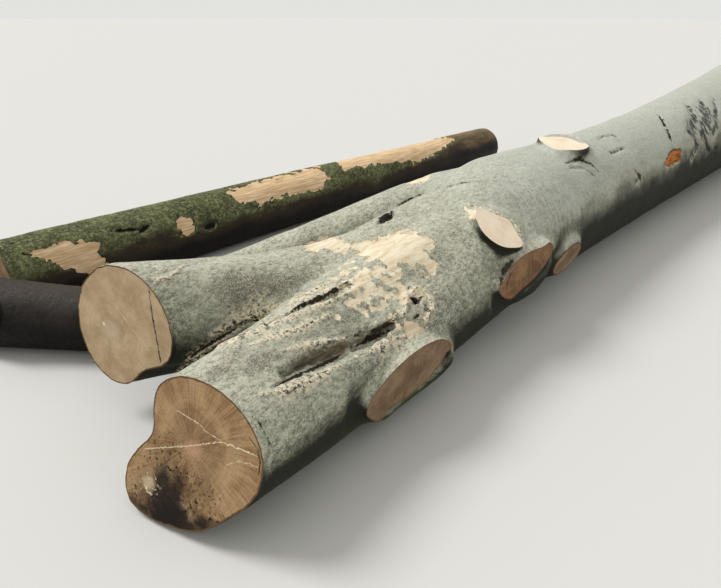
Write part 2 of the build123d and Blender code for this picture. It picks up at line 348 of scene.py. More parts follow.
class Effects:
    """Node groups that several finishes share, each built once."""

    def __init__(self) -> None:
        """Builds the groups."""
        self.ragged = self.ragged_edge()
        self.mottle = self.mottled_skin()
        self.near_ground = self.ground_dirt_and_shade()
        self.rings = self.growth_rings()
        self.stain = self.round_stain()

    @staticmethod
    def ragged_edge() -> bpy.types.NodeTree:
        """A mask with a torn edge, out of a field that is positive inside a patch."""
        tree, bench, entry, leave = group(
            "Ragged edge",
            {
                "Field": ("Float", 0.0), "Place": ("Vector", None),
                "Tear": ("Float", 0.012), "Fine": ("Float", 60.0),
            },
            {"Mask": "Float", "Edge": "Float"},
        )
        tear = bench.waver(entry["Place"], entry["Fine"], 5.0, 0.6)
        torn = bench.plus(entry["Field"], bench.times(tear, entry["Tear"]))
        mask = bench.ramp(torn, -0.001, 0.001)
        edge = bench.times(bench.ramp(torn, -0.006, -0.001), bench.ramp(torn, 0.002, -0.001))
        bench.feed(leave, "Mask", mask)
        bench.feed(leave, "Edge", edge)
        return tree

    @staticmethod
    def mottled_skin() -> bpy.types.NodeTree:
        """Pale and dark specks at two sizes, as lichen and pores make on bark."""
        tree, bench, entry, leave = group(
            "Mottled skin",
            {"Place": ("Vector", None), "Specks": ("Float", 70.0), "Clouds": ("Float", 7.0)},
            {"Broad": "Float", "Pale": "Float", "Dark": "Float", "Height": "Float"},
        )
        broad = bench.cloud(entry["Place"], entry["Clouds"], 6.0, 0.62, 0.3)
        specks = bench.cloud(entry["Place"], entry["Specks"], 4.0, 0.7)
        finer = bench.cloud(entry["Place"], bench.times(entry["Specks"], 2.7), 3.0, 0.6)
        both = bench.plus(bench.times(specks, 0.6), bench.times(finer, 0.4))
        bench.feed(leave, "Broad", bench.ramp(broad, 0.3, 0.7))
        bench.feed(leave, "Pale", bench.ramp(both, 0.5, 0.6))
        bench.feed(leave, "Dark", bench.ramp(both, 0.5, 0.4))
        bench.feed(leave, "Height", both)
        return tree

    @staticmethod
    def ground_dirt_and_shade() -> bpy.types.NodeTree:
        """Damp, and dark dirt with painted shade, that fade upwards from the ground."""
        tree, bench, entry, leave = group(
            "Ground soil",
            {"Place": ("Vector", None), "Reach": ("Float", 0.12)},
            {"Dirt_and_shade": "Float", "Damp": "Float"},
        )
        height = bench.part(entry["Place"], "Z")
        patchy = bench.waver(entry["Place"], 9.0, 6.0, 0.65)
        uneven = bench.plus(bench.over(height, entry["Reach"]), bench.times(patchy, 1.6))
        bench.feed(leave, "Dirt_and_shade", bench.ramp(uneven, 0.9, 0.2))
        bench.feed(leave, "Damp", bench.ramp(uneven, 3.2, 0.4))
        return tree

    @staticmethod
    def growth_rings() -> bpy.types.NodeTree:
        """Rings, rays and saw marks round the pith, which is at the sheet's zero."""
        tree, bench, entry, leave = group(
            "Growth rings",
            {
                "Sheet": ("Vector", None), "Ring": ("Float", 0.006),
                "Wobble": ("Float", 0.03), "Saw turn": ("Float", 0.5),
            },
            {"Rings": "Float", "Rays": "Float", "Saw": "Float", "Reach": "Float"},
        )
        bend = bench.waver(entry["Sheet"], 5.0, 3.0, 0.5)
        reach = bench.span(entry["Sheet"])
        uneven = bench.plus(reach, bench.times(bend, entry["Wobble"]))
        turns = bench.over(uneven, entry["Ring"])
        ring_place = bench.put("CombineXYZ", {0: turns}).outputs[0]
        rings = bench.cloud(ring_place, 1.0, 2.0, 0.5)
        parts = bench.put("SeparateXYZ", {0: entry["Sheet"]}).outputs
        angle = bench.math("ARCTAN2", parts["Y"], parts["X"])
        swerve = bench.plus(bench.times(angle, 26.0), bench.times(bend, 5.0))
        ray_place = bench.put("CombineXYZ", {0: swerve, 1: bench.times(reach, 7.0)}).outputs[0]
        rays = bench.cloud(ray_place, 1.0, 4.0, 0.65)
        cosine = bench.math("COSINE", entry["Saw turn"])
        sine = bench.math("SINE", entry["Saw turn"])
        cut = bench.plus(bench.times(parts["X"], cosine), bench.times(parts["Y"], sine))
        stroke = bench.minus(bench.times(parts["Y"], cosine), bench.times(parts["X"], sine))
        grid = {0: bench.times(cut, 160.0), 1: bench.times(stroke, 6.0)}
        saw_place = bench.put("CombineXYZ", grid).outputs[0]
        saw = bench.cloud(saw_place, 1.0, 3.0, 0.6, 0.2)
        bench.feed(leave, "Rings", rings)
        bench.feed(leave, "Rays", rays)
        bench.feed(leave, "Saw", saw)
        bench.feed(leave, "Reach", reach)
        return tree

    @staticmethod
    def round_stain() -> bpy.types.NodeTree:
        """A cloudy stain round a place on a sheet."""
        tree, bench, entry, leave = group(
            "Round stain",
            {
                "Sheet": ("Vector", None), "Middle": ("Vector", None), "Stretch": ("Vector", None),
                "Reach": ("Float", 0.1), "Specks": ("Float", 60.0),
            },
            {"Mask": "Float", "Specked": "Float"},
        )
        away = bench.put("VectorMath", {0: entry["Sheet"], 1: entry["Middle"]}, operation="SUBTRACT")
        stretched = {0: away.outputs[0], 1: entry["Stretch"]}
        flat = bench.put("VectorMath", stretched, operation="MULTIPLY").outputs[0]
        span = bench.span(flat)
        uneven = bench.waver(entry["Sheet"], 16.0, 6.0, 0.62)
        level = bench.plus(bench.over(span, entry["Reach"]), bench.times(uneven, 1.5))
        mask = bench.ramp(level, 1.15, 0.45)
        specks = bench.ramp(bench.cloud(entry["Sheet"], entry["Specks"], 3.0, 0.6), 0.56, 0.62)
        bench.feed(leave, "Mask", mask)
        bench.feed(leave, "Specked", bench.times(specks, bench.ramp(level, 1.9, 0.7)))
        return tree


class Coat:
    """A material being put together, as layers of colour on a surface shader."""

    def __init__(self, name: str, effects: Effects | None = None) -> None:
        """Starts a material.

        Args:
            name: The material's name.
            effects: Shared node groups, where its layers use them.
        """
        self.material = bpy.data.materials.new(name)
        self.material.use_nodes = True
        self.material.node_tree.nodes.clear()
        self.bench = Bench(self.material.node_tree)
        self.effects = effects
        self.surface = self.bench.put("BsdfPrincipled", {"Specular IOR Level": 0.15})
        self.bench.put("OutputMaterial", {"Surface": self.surface.outputs[0]})
        self.colour: object = None

    def lay(self, share: Socket, colour: object) -> None:
        """Lays a colour or a socket over the colour so far, by a share."""
        self.colour = self.bench.blend(share, self.colour, colour)

    def torn_out(self, which: Mark, place: Socket, tear: float, fine: float) -> Sockets:
        """Mask and edge of a marked patch.

        Args:
            which: The mark.
            place: Coordinates of the pattern that tears its edge.
            tear: How deep the edge is torn.
            fine: Tears to the metre.

        Returns:
            The sockets by name.
        """
        inputs = {"Field": self.bench.mark(which), "Place": place, "Tear": tear, "Fine": fine}
        return self.bench.use(self.effects.ragged, inputs)

    def finish(self, rough: object,
               bump: tuple[float, float, Socket] | None = None) -> bpy.types.Material:
        """Feeds the colour, the roughness and the bumps to the surface.

        Args:
            rough: Roughness, as a number or a socket.
            bump: Strength, depth and pattern of the bumps, or none.

        Returns:
            The material.
        """
        self.bench.feed(self.surface, "Base Color", self.colour)
        self.bench.feed(self.surface, "Roughness", rough)
        if bump:
            inputs = dict(zip(("Strength", "Distance", "Height"), bump))
            self.bench.feed(self.surface, "Normal", self.bench.put("Bump", inputs).outputs[0])
        return self.material


@dataclass(frozen=True)
class SmoothBark:
    """Smooth grey-green bark with lichen, bare patches, cracks and flaky scars."""

    name: str = "smooth_bark"
    shade: Colour = tone(116, 117, 101)
    light: Colour = tone(166, 167, 148)
    # Pale of the lichen specks, also laid on the upper side as a painted highlight
    pale: Colour = tone(214, 211, 190)
    dark: Colour = tone(52, 52, 42)
    algae: Colour = tone(92, 104, 66)
    # Near-black of the painted shade on the underside and in the gully, also the black of the scars
    under: Colour = tone(27, 28, 20)
    wood: Colour = tone(228, 216, 190)
    wood_shade: Colour = tone(204, 184, 152)
    wood_edge: Colour = tone(150, 128, 98)
    gully: Colour = tone(88, 76, 56)
    debris: Colour = tone(118, 72, 36)
    crack: Colour = tone(24, 18, 12)
    flake: Colour = tone(222, 208, 180)
    torn: Colour = tone(186, 112, 46)
    # Colour of the painted highlight on the bole's upper side
    painted_bole_highlight: Colour = tone(178, 182, 174)
    scuff: Colour = tone(190, 192, 184)
    dull: Colour = tone(96, 90, 78)
    # Dark of the dirt near the ground, with painted shade
    soil_and_shade: Colour = tone(46, 38, 28)

    def material(self, effects: Effects) -> bpy.types.Material:
        """Builds the material.

        Args:
            effects: Shared node groups.

        Returns:
            The material.
        """
        coat = Coat(self.name, effects)
        bench = coat.bench
        place = bench.place()
        long_way = bench.stretch(place, (0.75, 1.2, 1.2), (0.0, 0.0, 10.0))
        skin = bench.use(effects.mottle, {"Place": long_way, "Specks": 44.0, "Clouds": 5.0})
        fine = bench.cloud(place, 170.0, 4.0, 0.65)
        crumbs = bench.cloud(place, 75.0, 4.0, 0.65, 0.4)
        flaky = bench.mark(Mark.FLAKY)
        coat.colour = bench.blend(skin["Broad"], self.shade, self.light)
        self.weather(coat, place, skin, fine)
        self.strip(coat, place, fine)
        coat.lay(bench.times(flaky, bench.ramp(crumbs, 0.47, 0.53)), self.flake)
        coat.lay(bench.times(flaky, bench.ramp(crumbs, 0.43, 0.37)), self.crack)
        self.wound(coat, place, crumbs)
        # Near the ground: a damp tint, and dark dirt that is partly painted shade.
        near_ground = bench.use(effects.near_ground, {"Place": place, "Reach": 0.07})
        coat.lay(bench.times(near_ground["Damp"], 0.45), self.algae)
        coat.lay(bench.times(near_ground["Dirt_and_shade"], 0.85), self.soil_and_shade)
        height = bench.plus(skin["Height"], bench.times(fine, 0.5))
        height = bench.plus(height, bench.times(bench.times(flaky, crumbs), 3.0))
        return coat.finish(bench.ramp(skin["Height"], 0.3, 0.7, 0.68, 0.9), (0.55, 0.006, height))

    def weather(self, coat: Coat, place: Socket, skin: Sockets, fine: Socket) -> None:
        """Lays on lichen, algae, specks and scuffs, a painted highlight and sheen on top, and painted
        shade below.

        Args:
            coat: The bark's coat.
            place: Object coordinates.
            skin: The mottled pattern's sockets.
            fine: The finest pattern.
        """
        bench = coat.bench
        round_about = bench.stretch(place, (9.0, 1.6, 1.6), (0.0, 0.0, 8.0))
        streak = bench.cloud(round_about, 5.0, 6.0, 0.7, 0.4)
        patchy = bench.cloud(place, 2.6, 5.0, 0.6)
        facing = bench.facing()
        bole = bench.ramp(bench.part(place, "X"), -2.6, -1.2)
        plain = bench.minus(1.0, bench.times(bole, 0.55))
        coat.lay(bench.ramp(streak, 0.5, 0.66, 0.0, 0.35), self.light)
        coat.lay(bench.ramp(streak, 0.48, 0.34, 0.0, 0.3), self.dark)
        lean = bench.minus(bench.times(patchy, 1.4), facing)
        coat.lay(bench.ramp(lean, 0.4, 1.3, 0.0, 0.75), self.algae)
        # Painted highlight: the skin that faces up is lightened towards the pale colour.
        top = bench.plus(facing, bench.times(patchy, 0.5))
        coat.lay(bench.ramp(top, 0.8, 1.3, 0.0, 0.4), self.pale)
        # Painted highlight: the bole's upward-facing skin takes a silvery sheen.
        sheen = bench.ramp(bench.plus(facing, bench.times(patchy, 0.8)), 0.6, 1.15, 0.0, 0.75)
        coat.lay(bench.times(bole, sheen), self.painted_bole_highlight)
        grit = bench.blend(bench.ramp(fine, 0.4, 0.6), self.dark, self.pale)
        coat.lay(bench.times(bench.ramp(skin["Broad"], 0.2, 0.8, 0.36, 0.18), plain), grit)
        coat.lay(bench.times(bench.times(skin["Pale"], 0.45), plain), self.pale)
        coat.lay(bench.times(bench.times(skin["Dark"], 0.45), plain), self.dark)
        drawn = bench.stretch(place, (80.0, 9.0, 9.0), (0.0, 0.0, 24.0))
        scratch = bench.ramp(bench.cloud(drawn, 1.0, 5.0, 0.65, 0.3), 0.5, 0.62, 0.0, 0.6)
        coat.lay(bench.times(bench.mark(Mark.SCUFF), scratch), self.scuff)
        # Painted shade: the underside and lower flanks darken towards near-black, a little less on the
        # bole.
        below = bench.plus(facing, bench.swing(patchy, 0.7))
        below = bench.minus(below, bench.times(bole, 0.14))
        coat.lay(bench.ramp(below, 0.34, -0.16, 0.0, 0.96), self.under)
        gloom = bench.times(bench.mark(Mark.DULL), bench.ramp(skin["Broad"], 0.3, 0.75, 0.85, 0.3))
        coat.lay(bench.times(gloom, bench.ramp(fine, 0.38, 0.62, 1.0, 0.35)), self.dull)

    def strip(self, coat: Coat, place: Socket, fine: Socket) -> None:
        """Shows the gully's wall, dark brown with painted shade, and the bare wood where the bark has
        gone.

        Args:
            coat: The bark's coat.
            place: Object coordinates.
            fine: The finest pattern.
        """
        bench = coat.bench
        gully = coat.torn_out(Mark.GULLY, place, 0.02, 40.0)
        # The gully wall: dark brown inner bark, streaked with near-black painted shade and laid more
        # deeply further into the recess.
        furrow = bench.cloud(bench.stretch(place, (3.0, 30.0, 30.0), (0.0, 0.0, -28.0)), 3.0, 5.0, 0.6)
        wall = bench.blend(bench.ramp(furrow, 0.3, 0.6), self.under, self.gully)
        coverage = bench.ramp(bench.mark(Mark.GULLY), 0.0, 0.022, 0.3, 0.9)
        coat.lay(bench.times(gully["Mask"], coverage), wall)
        bare = coat.torn_out(Mark.BARE, place, 0.05, 30.0)
        grain = bench.cloud(bench.stretch(place, (4.0, 26.0, 26.0), (0.0, 0.0, 8.0)), 2.0, 6.0, 0.65)
        wood = bench.blend(bench.ramp(grain, 0.34, 0.6), self.wood_shade, self.wood)
        coat.lay(bench.times(bare["Edge"], 0.5), self.wood_edge)
        coat.lay(bench.times(bare["Mask"], bench.ramp(fine, 0.3, 0.45, 0.6, 1.0)), wood)

    def wound(self, coat: Coat, place: Socket, crumbs: Socket) -> None:
        """Lays on black scars, torn bark and cracks.

        Args:
            coat: The bark's coat.
            place: Object coordinates.
            crumbs: Pattern of the flaky bark.
        """
        bench = coat.bench
        blots = bench.cloud(bench.stretch(place, (1.0, 0.6, 0.6)), 30.0, 3.0, 0.6)
        scar = bench.plus(bench.mark(Mark.SCAR), bench.swing(blots, 2.6))
        coat.lay(bench.ramp(scar, 0.6, 1.1, 0.0, 0.86), self.under)
        torn = coat.torn_out(Mark.TORN, place, 0.02, 50.0)
        shreds = bench.cloud(bench.stretch(place, (2.0, 14.0, 14.0)), 6.0, 5.0, 0.6)
        coat.lay(bench.times(torn["Edge"], 0.7), self.crack)
        coat.lay(torn["Mask"], bench.blend(bench.ramp(shreds, 0.42, 0.54), self.debris, self.torn))
        broken = bench.plus(bench.mark(Mark.CRACK), bench.swing(crumbs, 0.7))
        coat.lay(bench.ramp(broken, 0.42, 0.7, 0.0, 0.96), self.crack)


@dataclass(frozen=True)
class MossyBark:
    """Bark under green algae, damp and glossy below with painted shade, and pale patches where it has
    gone.
    """

    name: str = "mossy_bark"
    green: Colour = tone(102, 107, 70)
    deep: Colour = tone(62, 65, 42)
    bright: Colour = tone(146, 150, 112)
    # Brown of the dark specks and of the painted shade on the lower half
    brown: Colour = tone(54, 44, 33)
    # Near-black of the painted shade underneath, of the bare patches' edges and of the cracks
    shade_and_crack_black: Colour = tone(18, 15, 12)
    dry: Colour = tone(132, 106, 80)
    wood: Colour = tone(232, 208, 172)
    wood_shade: Colour = tone(196, 160, 118)

    def material(self, effects: Effects) -> bpy.types.Material:
        """Builds the material.

        Args:
            effects: Shared node groups.

        Returns:
            The material.
        """
        coat = Coat(self.name, effects)
        bench = coat.bench
        place = bench.place()
        skin = bench.use(effects.mottle, {"Place": place, "Specks": 46.0, "Clouds": 4.5})
        coat.colour = bench.blend(skin["Broad"], self.deep, self.green)
        coat.lay(bench.times(skin["Pale"], 0.7), self.bright)
        coat.lay(bench.times(skin["Dark"], 0.6), self.brown)
        facing = bench.facing()
        along = bench.part(place, "X")
        patchy = bench.cloud(bench.stretch(place, (0.8, 2.0, 2.0)), 3.0, 6.0, 0.65)
        # Painted shade over damp bark: the lower half turns brown and the underside near-black, both
        # reaching higher towards larger X.
        uneven = bench.plus(facing, bench.swing(patchy, 1.6))
        uneven = bench.minus(uneven, bench.ramp(along, -0.2, 1.0, 0.0, 0.55))
        coat.lay(bench.ramp(uneven, 0.45, 0.05), self.brown)
        upper = bench.times(bench.ramp(facing, 0.15, 0.7), bench.ramp(along, 0.1, 1.0))
        coat.lay(bench.times(upper, bench.ramp(patchy, 0.38, 0.6, 0.25, 0.9)), self.dry)
        coat.lay(bench.ramp(uneven, 0.15, -0.45), self.shade_and_crack_black)
        bare = coat.torn_out(Mark.BARE, place, 0.03, 14.0)
        grain = bench.cloud(bench.stretch(place, (2.0, 30.0, 30.0)), 3.0, 5.0, 0.6)
        coat.lay(bare["Edge"], self.shade_and_crack_black)
        coat.lay(bare["Mask"], bench.blend(bench.ramp(grain, 0.35, 0.7), self.wood_shade, self.wood))
        coat.lay(bench.ramp(bench.mark(Mark.CRACK), 0.3, 0.6), self.shade_and_crack_black)
        return coat.finish(bench.ramp(uneven, -0.3, 0.5, 0.45, 0.88), (0.6, 0.008, skin["Height"]))


@dataclass(frozen=True)
class DarkBark:
    """Wet dark bark, with a painted highlight on top and painted shade below."""

    name: str = "dark_bark"
    deep: Colour = tone(18, 14, 12)
    shade: Colour = tone(40, 33, 29)
    # Colour of the painted highlight on the upper side
    painted_top_highlight: Colour = tone(64, 55, 49)
    moss: Colour = tone(58, 60, 40)
    # Near-black of the painted shade underneath and of the dirt near the ground
    soil_and_shade: Colour = tone(9, 7, 6)

    def material(self, effects: Effects) -> bpy.types.Material:
        """Builds the material.

        Args:
            effects: Shared node groups.

        Returns:
            The material.
        """
        coat = Coat(self.name, effects)
        bench = coat.bench
        place = bench.place()
        skin = bench.use(effects.mottle, {"Place": place, "Specks": 40.0, "Clouds": 8.0})
        coat.colour = bench.blend(skin["Broad"], self.deep, self.shade)
        facing = bench.facing()
        patchy = bench.cloud(place, 6.0, 6.0, 0.65)
        # Painted highlight: the skin that faces up is lightened.
        top = bench.plus(facing, bench.times(patchy, 0.6))
        coat.lay(bench.ramp(top, 0.8, 1.4, 0.0, 0.8), self.painted_top_highlight)
        coat.lay(bench.times(skin["Pale"], 0.35), self.moss)
        # Painted shade: the skin that faces down or sideways darkens towards near-black.
        coat.lay(bench.ramp(facing, 0.45, -0.1, 0.0, 0.85), self.soil_and_shade)
        # Near the ground: dark dirt that is partly painted shade.
        near_ground = bench.use(effects.near_ground, {"Place": place, "Reach": 0.06})
        coat.lay(bench.times(near_ground["Dirt_and_shade"], 0.9), self.soil_and_shade)
        return coat.finish(bench.ramp(skin["Height"], 0.3, 0.7, 0.42, 0.8), (0.7, 0.01, skin["Height"]))


@dataclass(frozen=True)
class Stain:
    """A stain on a sawn face, placed by a pixel."""

    pixel: Pixel
    reach: float
    colour: Colour
    strength: float = 0.9
    stretch: Point = (1.0, 1.0, 0.0)
    specks: float = 60.0


@dataclass(frozen=True)
class FaceLine:
    """A crack or scratch across a sawn face, through pixels in order across the face."""

    pixels: tuple[Pixel, ...]
    width: float
    colour: Colour
    upright: bool = False
    strength: float = 0.9
    sunk: float = 0.0


@dataclass(frozen=True)
class SawnWood:
    """Sawn end grain with rings, rays, saw marks, stains and cracks."""

    name: str
    wood: Colour = tone(176, 142, 100)
    light: Colour = tone(206, 178, 140)
    heart: Colour = tone(150, 112, 76)
    heart_reach: float = 0.16
    heart_share: float = 0.5
    rim: Colour = tone(92, 70, 48)
    rim_width: float = 0.55
    ring_share: float = 0.35
    ray_share: float = 0.4
    saw_share: float = 0.3
    saw_turn: float = 0.5
    ring_gap: float = 0.005
    roughness: float = 0.75
    stains: tuple[Stain, ...] = ()
    lines: tuple[FaceLine, ...] = ()

    def material(self, effects: Effects, sheet: "Sheet") -> bpy.types.Material:
        """Builds the material for one sawn face.

        Args:
            effects: Shared node groups.
            sheet: The face's own plane, which places the stains and lines.

        Returns:
            The material.
        """
        coat = Coat(self.name, effects)
        bench = coat.bench
        flat = bench.put("UVMap", uv_map=SHEET_LAYER).outputs[0]
        turned = {"Sheet": flat, "Ring": self.ring_gap, "Saw turn": self.saw_turn}
        ring = bench.use(effects.rings, turned)
        patchy = bench.cloud(flat, 9.0, 5.0, 0.6)
        coat.colour = bench.blend(bench.ramp(patchy, 0.35, 0.65), self.wood, self.light)
        heart = bench.plus(ring["Reach"], bench.swing(patchy, 0.16))
        outer, inner = self.heart_reach * 1.15, self.heart_reach * 0.8
        coat.lay(bench.ramp(heart, outer, inner, 0.0, self.heart_share), self.heart)
        coat.lay(bench.ramp(ring["Rings"], 0.45, 0.6, 0.0, self.ring_share), self.heart)
        coat.lay(bench.ramp(ring["Rays"], 0.5, 0.68, 0.0, self.ray_share), self.light)
        coat.lay(bench.ramp(ring["Rays"], 0.46, 0.3, 0.0, self.ray_share), self.heart)
        coat.lay(bench.ramp(ring["Saw"], 0.5, 0.7, 0.0, self.saw_share), self.light)
        height = bench.plus(bench.times(ring["Saw"], 0.6), bench.times(ring["Rays"], 0.3))
        for stain in self.stains:
            blot = bench.use(effects.stain, {
                "Sheet": flat, "Middle": (*sheet.at(stain.pixel), 0.0), "Stretch": stain.stretch,
                "Reach": stain.reach, "Specks": stain.specks,
            })
            share = bench.math("MAXIMUM", bench.times(blot["Mask"], stain.strength), blot["Specked"])
            coat.lay(share, stain.colour)
        for line in self.lines:
            mask = self.trace(bench, flat, sheet, line)
            coat.lay(bench.times(mask, line.strength), line.colour)
            height = bench.minus(height, bench.times(mask, line.sunk))
        edge = bench.plus(bench.mark(Mark.RIM), bench.times(bench.waver(flat, 40.0), 0.9))
        coat.lay(bench.ramp(edge, self.rim_width, self.rim_width - 0.15), self.rim)
        return coat.finish(self.roughness, (0.45, 0.004, height))

    @staticmethod
    def trace(bench: Bench, flat: Socket, sheet: "Sheet", line: FaceLine) -> Socket:
        """Masks a line across the face.

        Args:
            bench: The material's bench.
            flat: The face's sheet coordinates.
            sheet: The face's plane.
            line: The line.

        Returns:
            The mask's socket.
        """
        places = [sheet.at(pixel) for pixel in line.pixels]
        if line.upright:
            places = [(place[1], place[0]) for place in places]
        places.sort()
        starts, ends = places[0], places[-1]
        span = ends[0] - starts[0]
        low = min(place[1] for place in places)
        rise = max(max(place[1] for place in places) - low, 1e-4)
        parts = bench.put("SeparateXYZ", {0: flat}).outputs
        run, cross = (parts["Y"], parts["X"]) if line.upright else (parts["X"], parts["Y"])
        share = bench.over(bench.minus(run, starts[0]), span)
        curve = bench.put("FloatCurve", {"Value": share})
        points = curve.mapping.curves[0].points
        spots = [((place[0] - starts[0]) / span, (place[1] - low) / rise) for place in places]
        points[0].location, points[1].location = spots[0], spots[-1]
        for spot in spots[1:-1]:
            points.new(*spot)
        for point in points:
            point.handle_type = "VECTOR"
        curve.mapping.update()
        wander = bench.waver(flat, 55.0, 4.0, 0.7)
        expected = bench.plus(bench.times(curve.outputs[0], rise), low)
        off = bench.minus(cross, bench.plus(expected, bench.times(wander, 0.02)))
        near = bench.ramp(bench.math("ABSOLUTE", off), line.width, line.width * 0.4)
        inside = bench.times(bench.ramp(share, -0.02, 0.04), bench.ramp(share, 1.02, 0.96))
        coverage = bench.ramp(bench.cloud(flat, 38.0, 4.0, 0.7), 0.36, 0.56, 0.35, 1.0)
        return bench.times(bench.times(near, inside), coverage)


@dataclass
class Sheet:
    """The plane of a sawn face, with its pith at zero, along which its pattern is laid."""

    middle: Vector
    normal: Vector
    radius: float
    pith: Vector | None = None

    def axes(self) -> tuple[Vector, Vector]:
        """Level and rising directions in the plane."""
        level = Vector((0.0, 0.0, 1.0)).cross(self.normal)
        if level.length < 0.2:
            level = Vector((1.0, 0.0, 0.0))
        level.normalize()
        return level, self.normal.cross(level).normalized()

    def flatten(self, point: Vector) -> tuple[float, float]:
        """Sheet coordinates of a point.

        Args:
            point: Point in the frame.

        Returns:
            Its level and rising coordinates from the pith.
        """
        level, rise = self.axes()
        away = point - (self.pith or self.middle)
        return away.dot(level), away.dot(rise)

    def hit(self, pixel: Pixel) -> Vector:
        """The plane's point that shows at a pixel.

        Args:
            pixel: Place in the picture.

        Returns:
            The point.
        """
        way = VIEW.ray(pixel)
        start = Vector(VIEW.place)
        run = (self.middle - start).dot(self.normal) / way.dot(self.normal)
        return start + way * run

    def at(self, pixel: Pixel) -> tuple[float, float]:
        """Sheet coordinates of a pixel."""
        return self.flatten(self.hit(pixel))


@dataclass(frozen=True)
class Cut:
    """A sawn face of a log: roughly where it is, its finish and its pith's pixel."""

    near: Point
    finish: SawnWood
    pith: Pixel | None = None
    lip: float = 0.02


@dataclass(frozen=True)
class Carving:
    """A line or spot of relief in the bark, through pixels of the picture."""

    pixels: tuple[Pixel, ...]
    width: float
    depth: float
    marks: tuple[tuple[Mark, float], ...] = ()
    ragged: float = 0.6


@dataclass(frozen=True)
class Patch:
    """An area of the bark, outlined by pixels of the picture."""

    pixels: tuple[Pixel, ...]
    mark: Mark = Mark.BARE
    ragged: float = 0.02
    sunk: float = 0.004
    step: float = 0.004


@dataclass(frozen=True)
class Boss:
    """A sawn stub whose outline in the picture differs a little from the solid's oval."""

    cut: int
    pixels: tuple[Pixel, ...]
    rise: float = 0.07
    fall: float = 0.03
    reach: float = 0.12
    slope: float = 0.05
    trim: float = 0.02
    root: float = 0.06


def quiet() -> None:
    """Leaves edit mode and deselects everything."""
    if bpy.context.object and bpy.context.object.mode != "OBJECT":
        bpy.ops.object.mode_set(mode="OBJECT")
    bpy.ops.object.select_all(action="DESELECT")


def activate(piece: bpy.types.Object) -> None:
    """Makes a piece the only selected one and the active one."""
    quiet()
    piece.select_set(True)
    bpy.context.view_layer.objects.active = piece


def edit_faces(piece: bpy.types.Object, pick: Callable[[bmesh.types.BMesh], Iterable]) -> None:
    """Opens a piece's mesh for editing, with only some of its faces selected.

    Args:
        piece: The piece.
        pick: Gives those faces out of the open mesh.
    """
    activate(piece)
    bpy.ops.object.mode_set(mode="EDIT")
    bpy.ops.mesh.select_mode(type="FACE")
    bpy.ops.mesh.select_all(action="DESELECT")
    model = bmesh.from_edit_mesh(piece.data)
    for face in pick(model):
        face.select_set(True)
    bmesh.update_edit_mesh(piece.data)


def apply(piece: bpy.types.Object, kind: str, **settings: object) -> None:
    """Adds a modifier to a piece and applies it.

    Args:
        piece: The piece.
        kind: The modifier's type.
        settings: Its properties.
    """
    activate(piece)
    modifier = piece.modifiers.new(kind.lower(), kind)
    for name, value in settings.items():
        setattr(modifier, name, value)
    bpy.ops.object.modifier_apply(modifier=modifier.name)


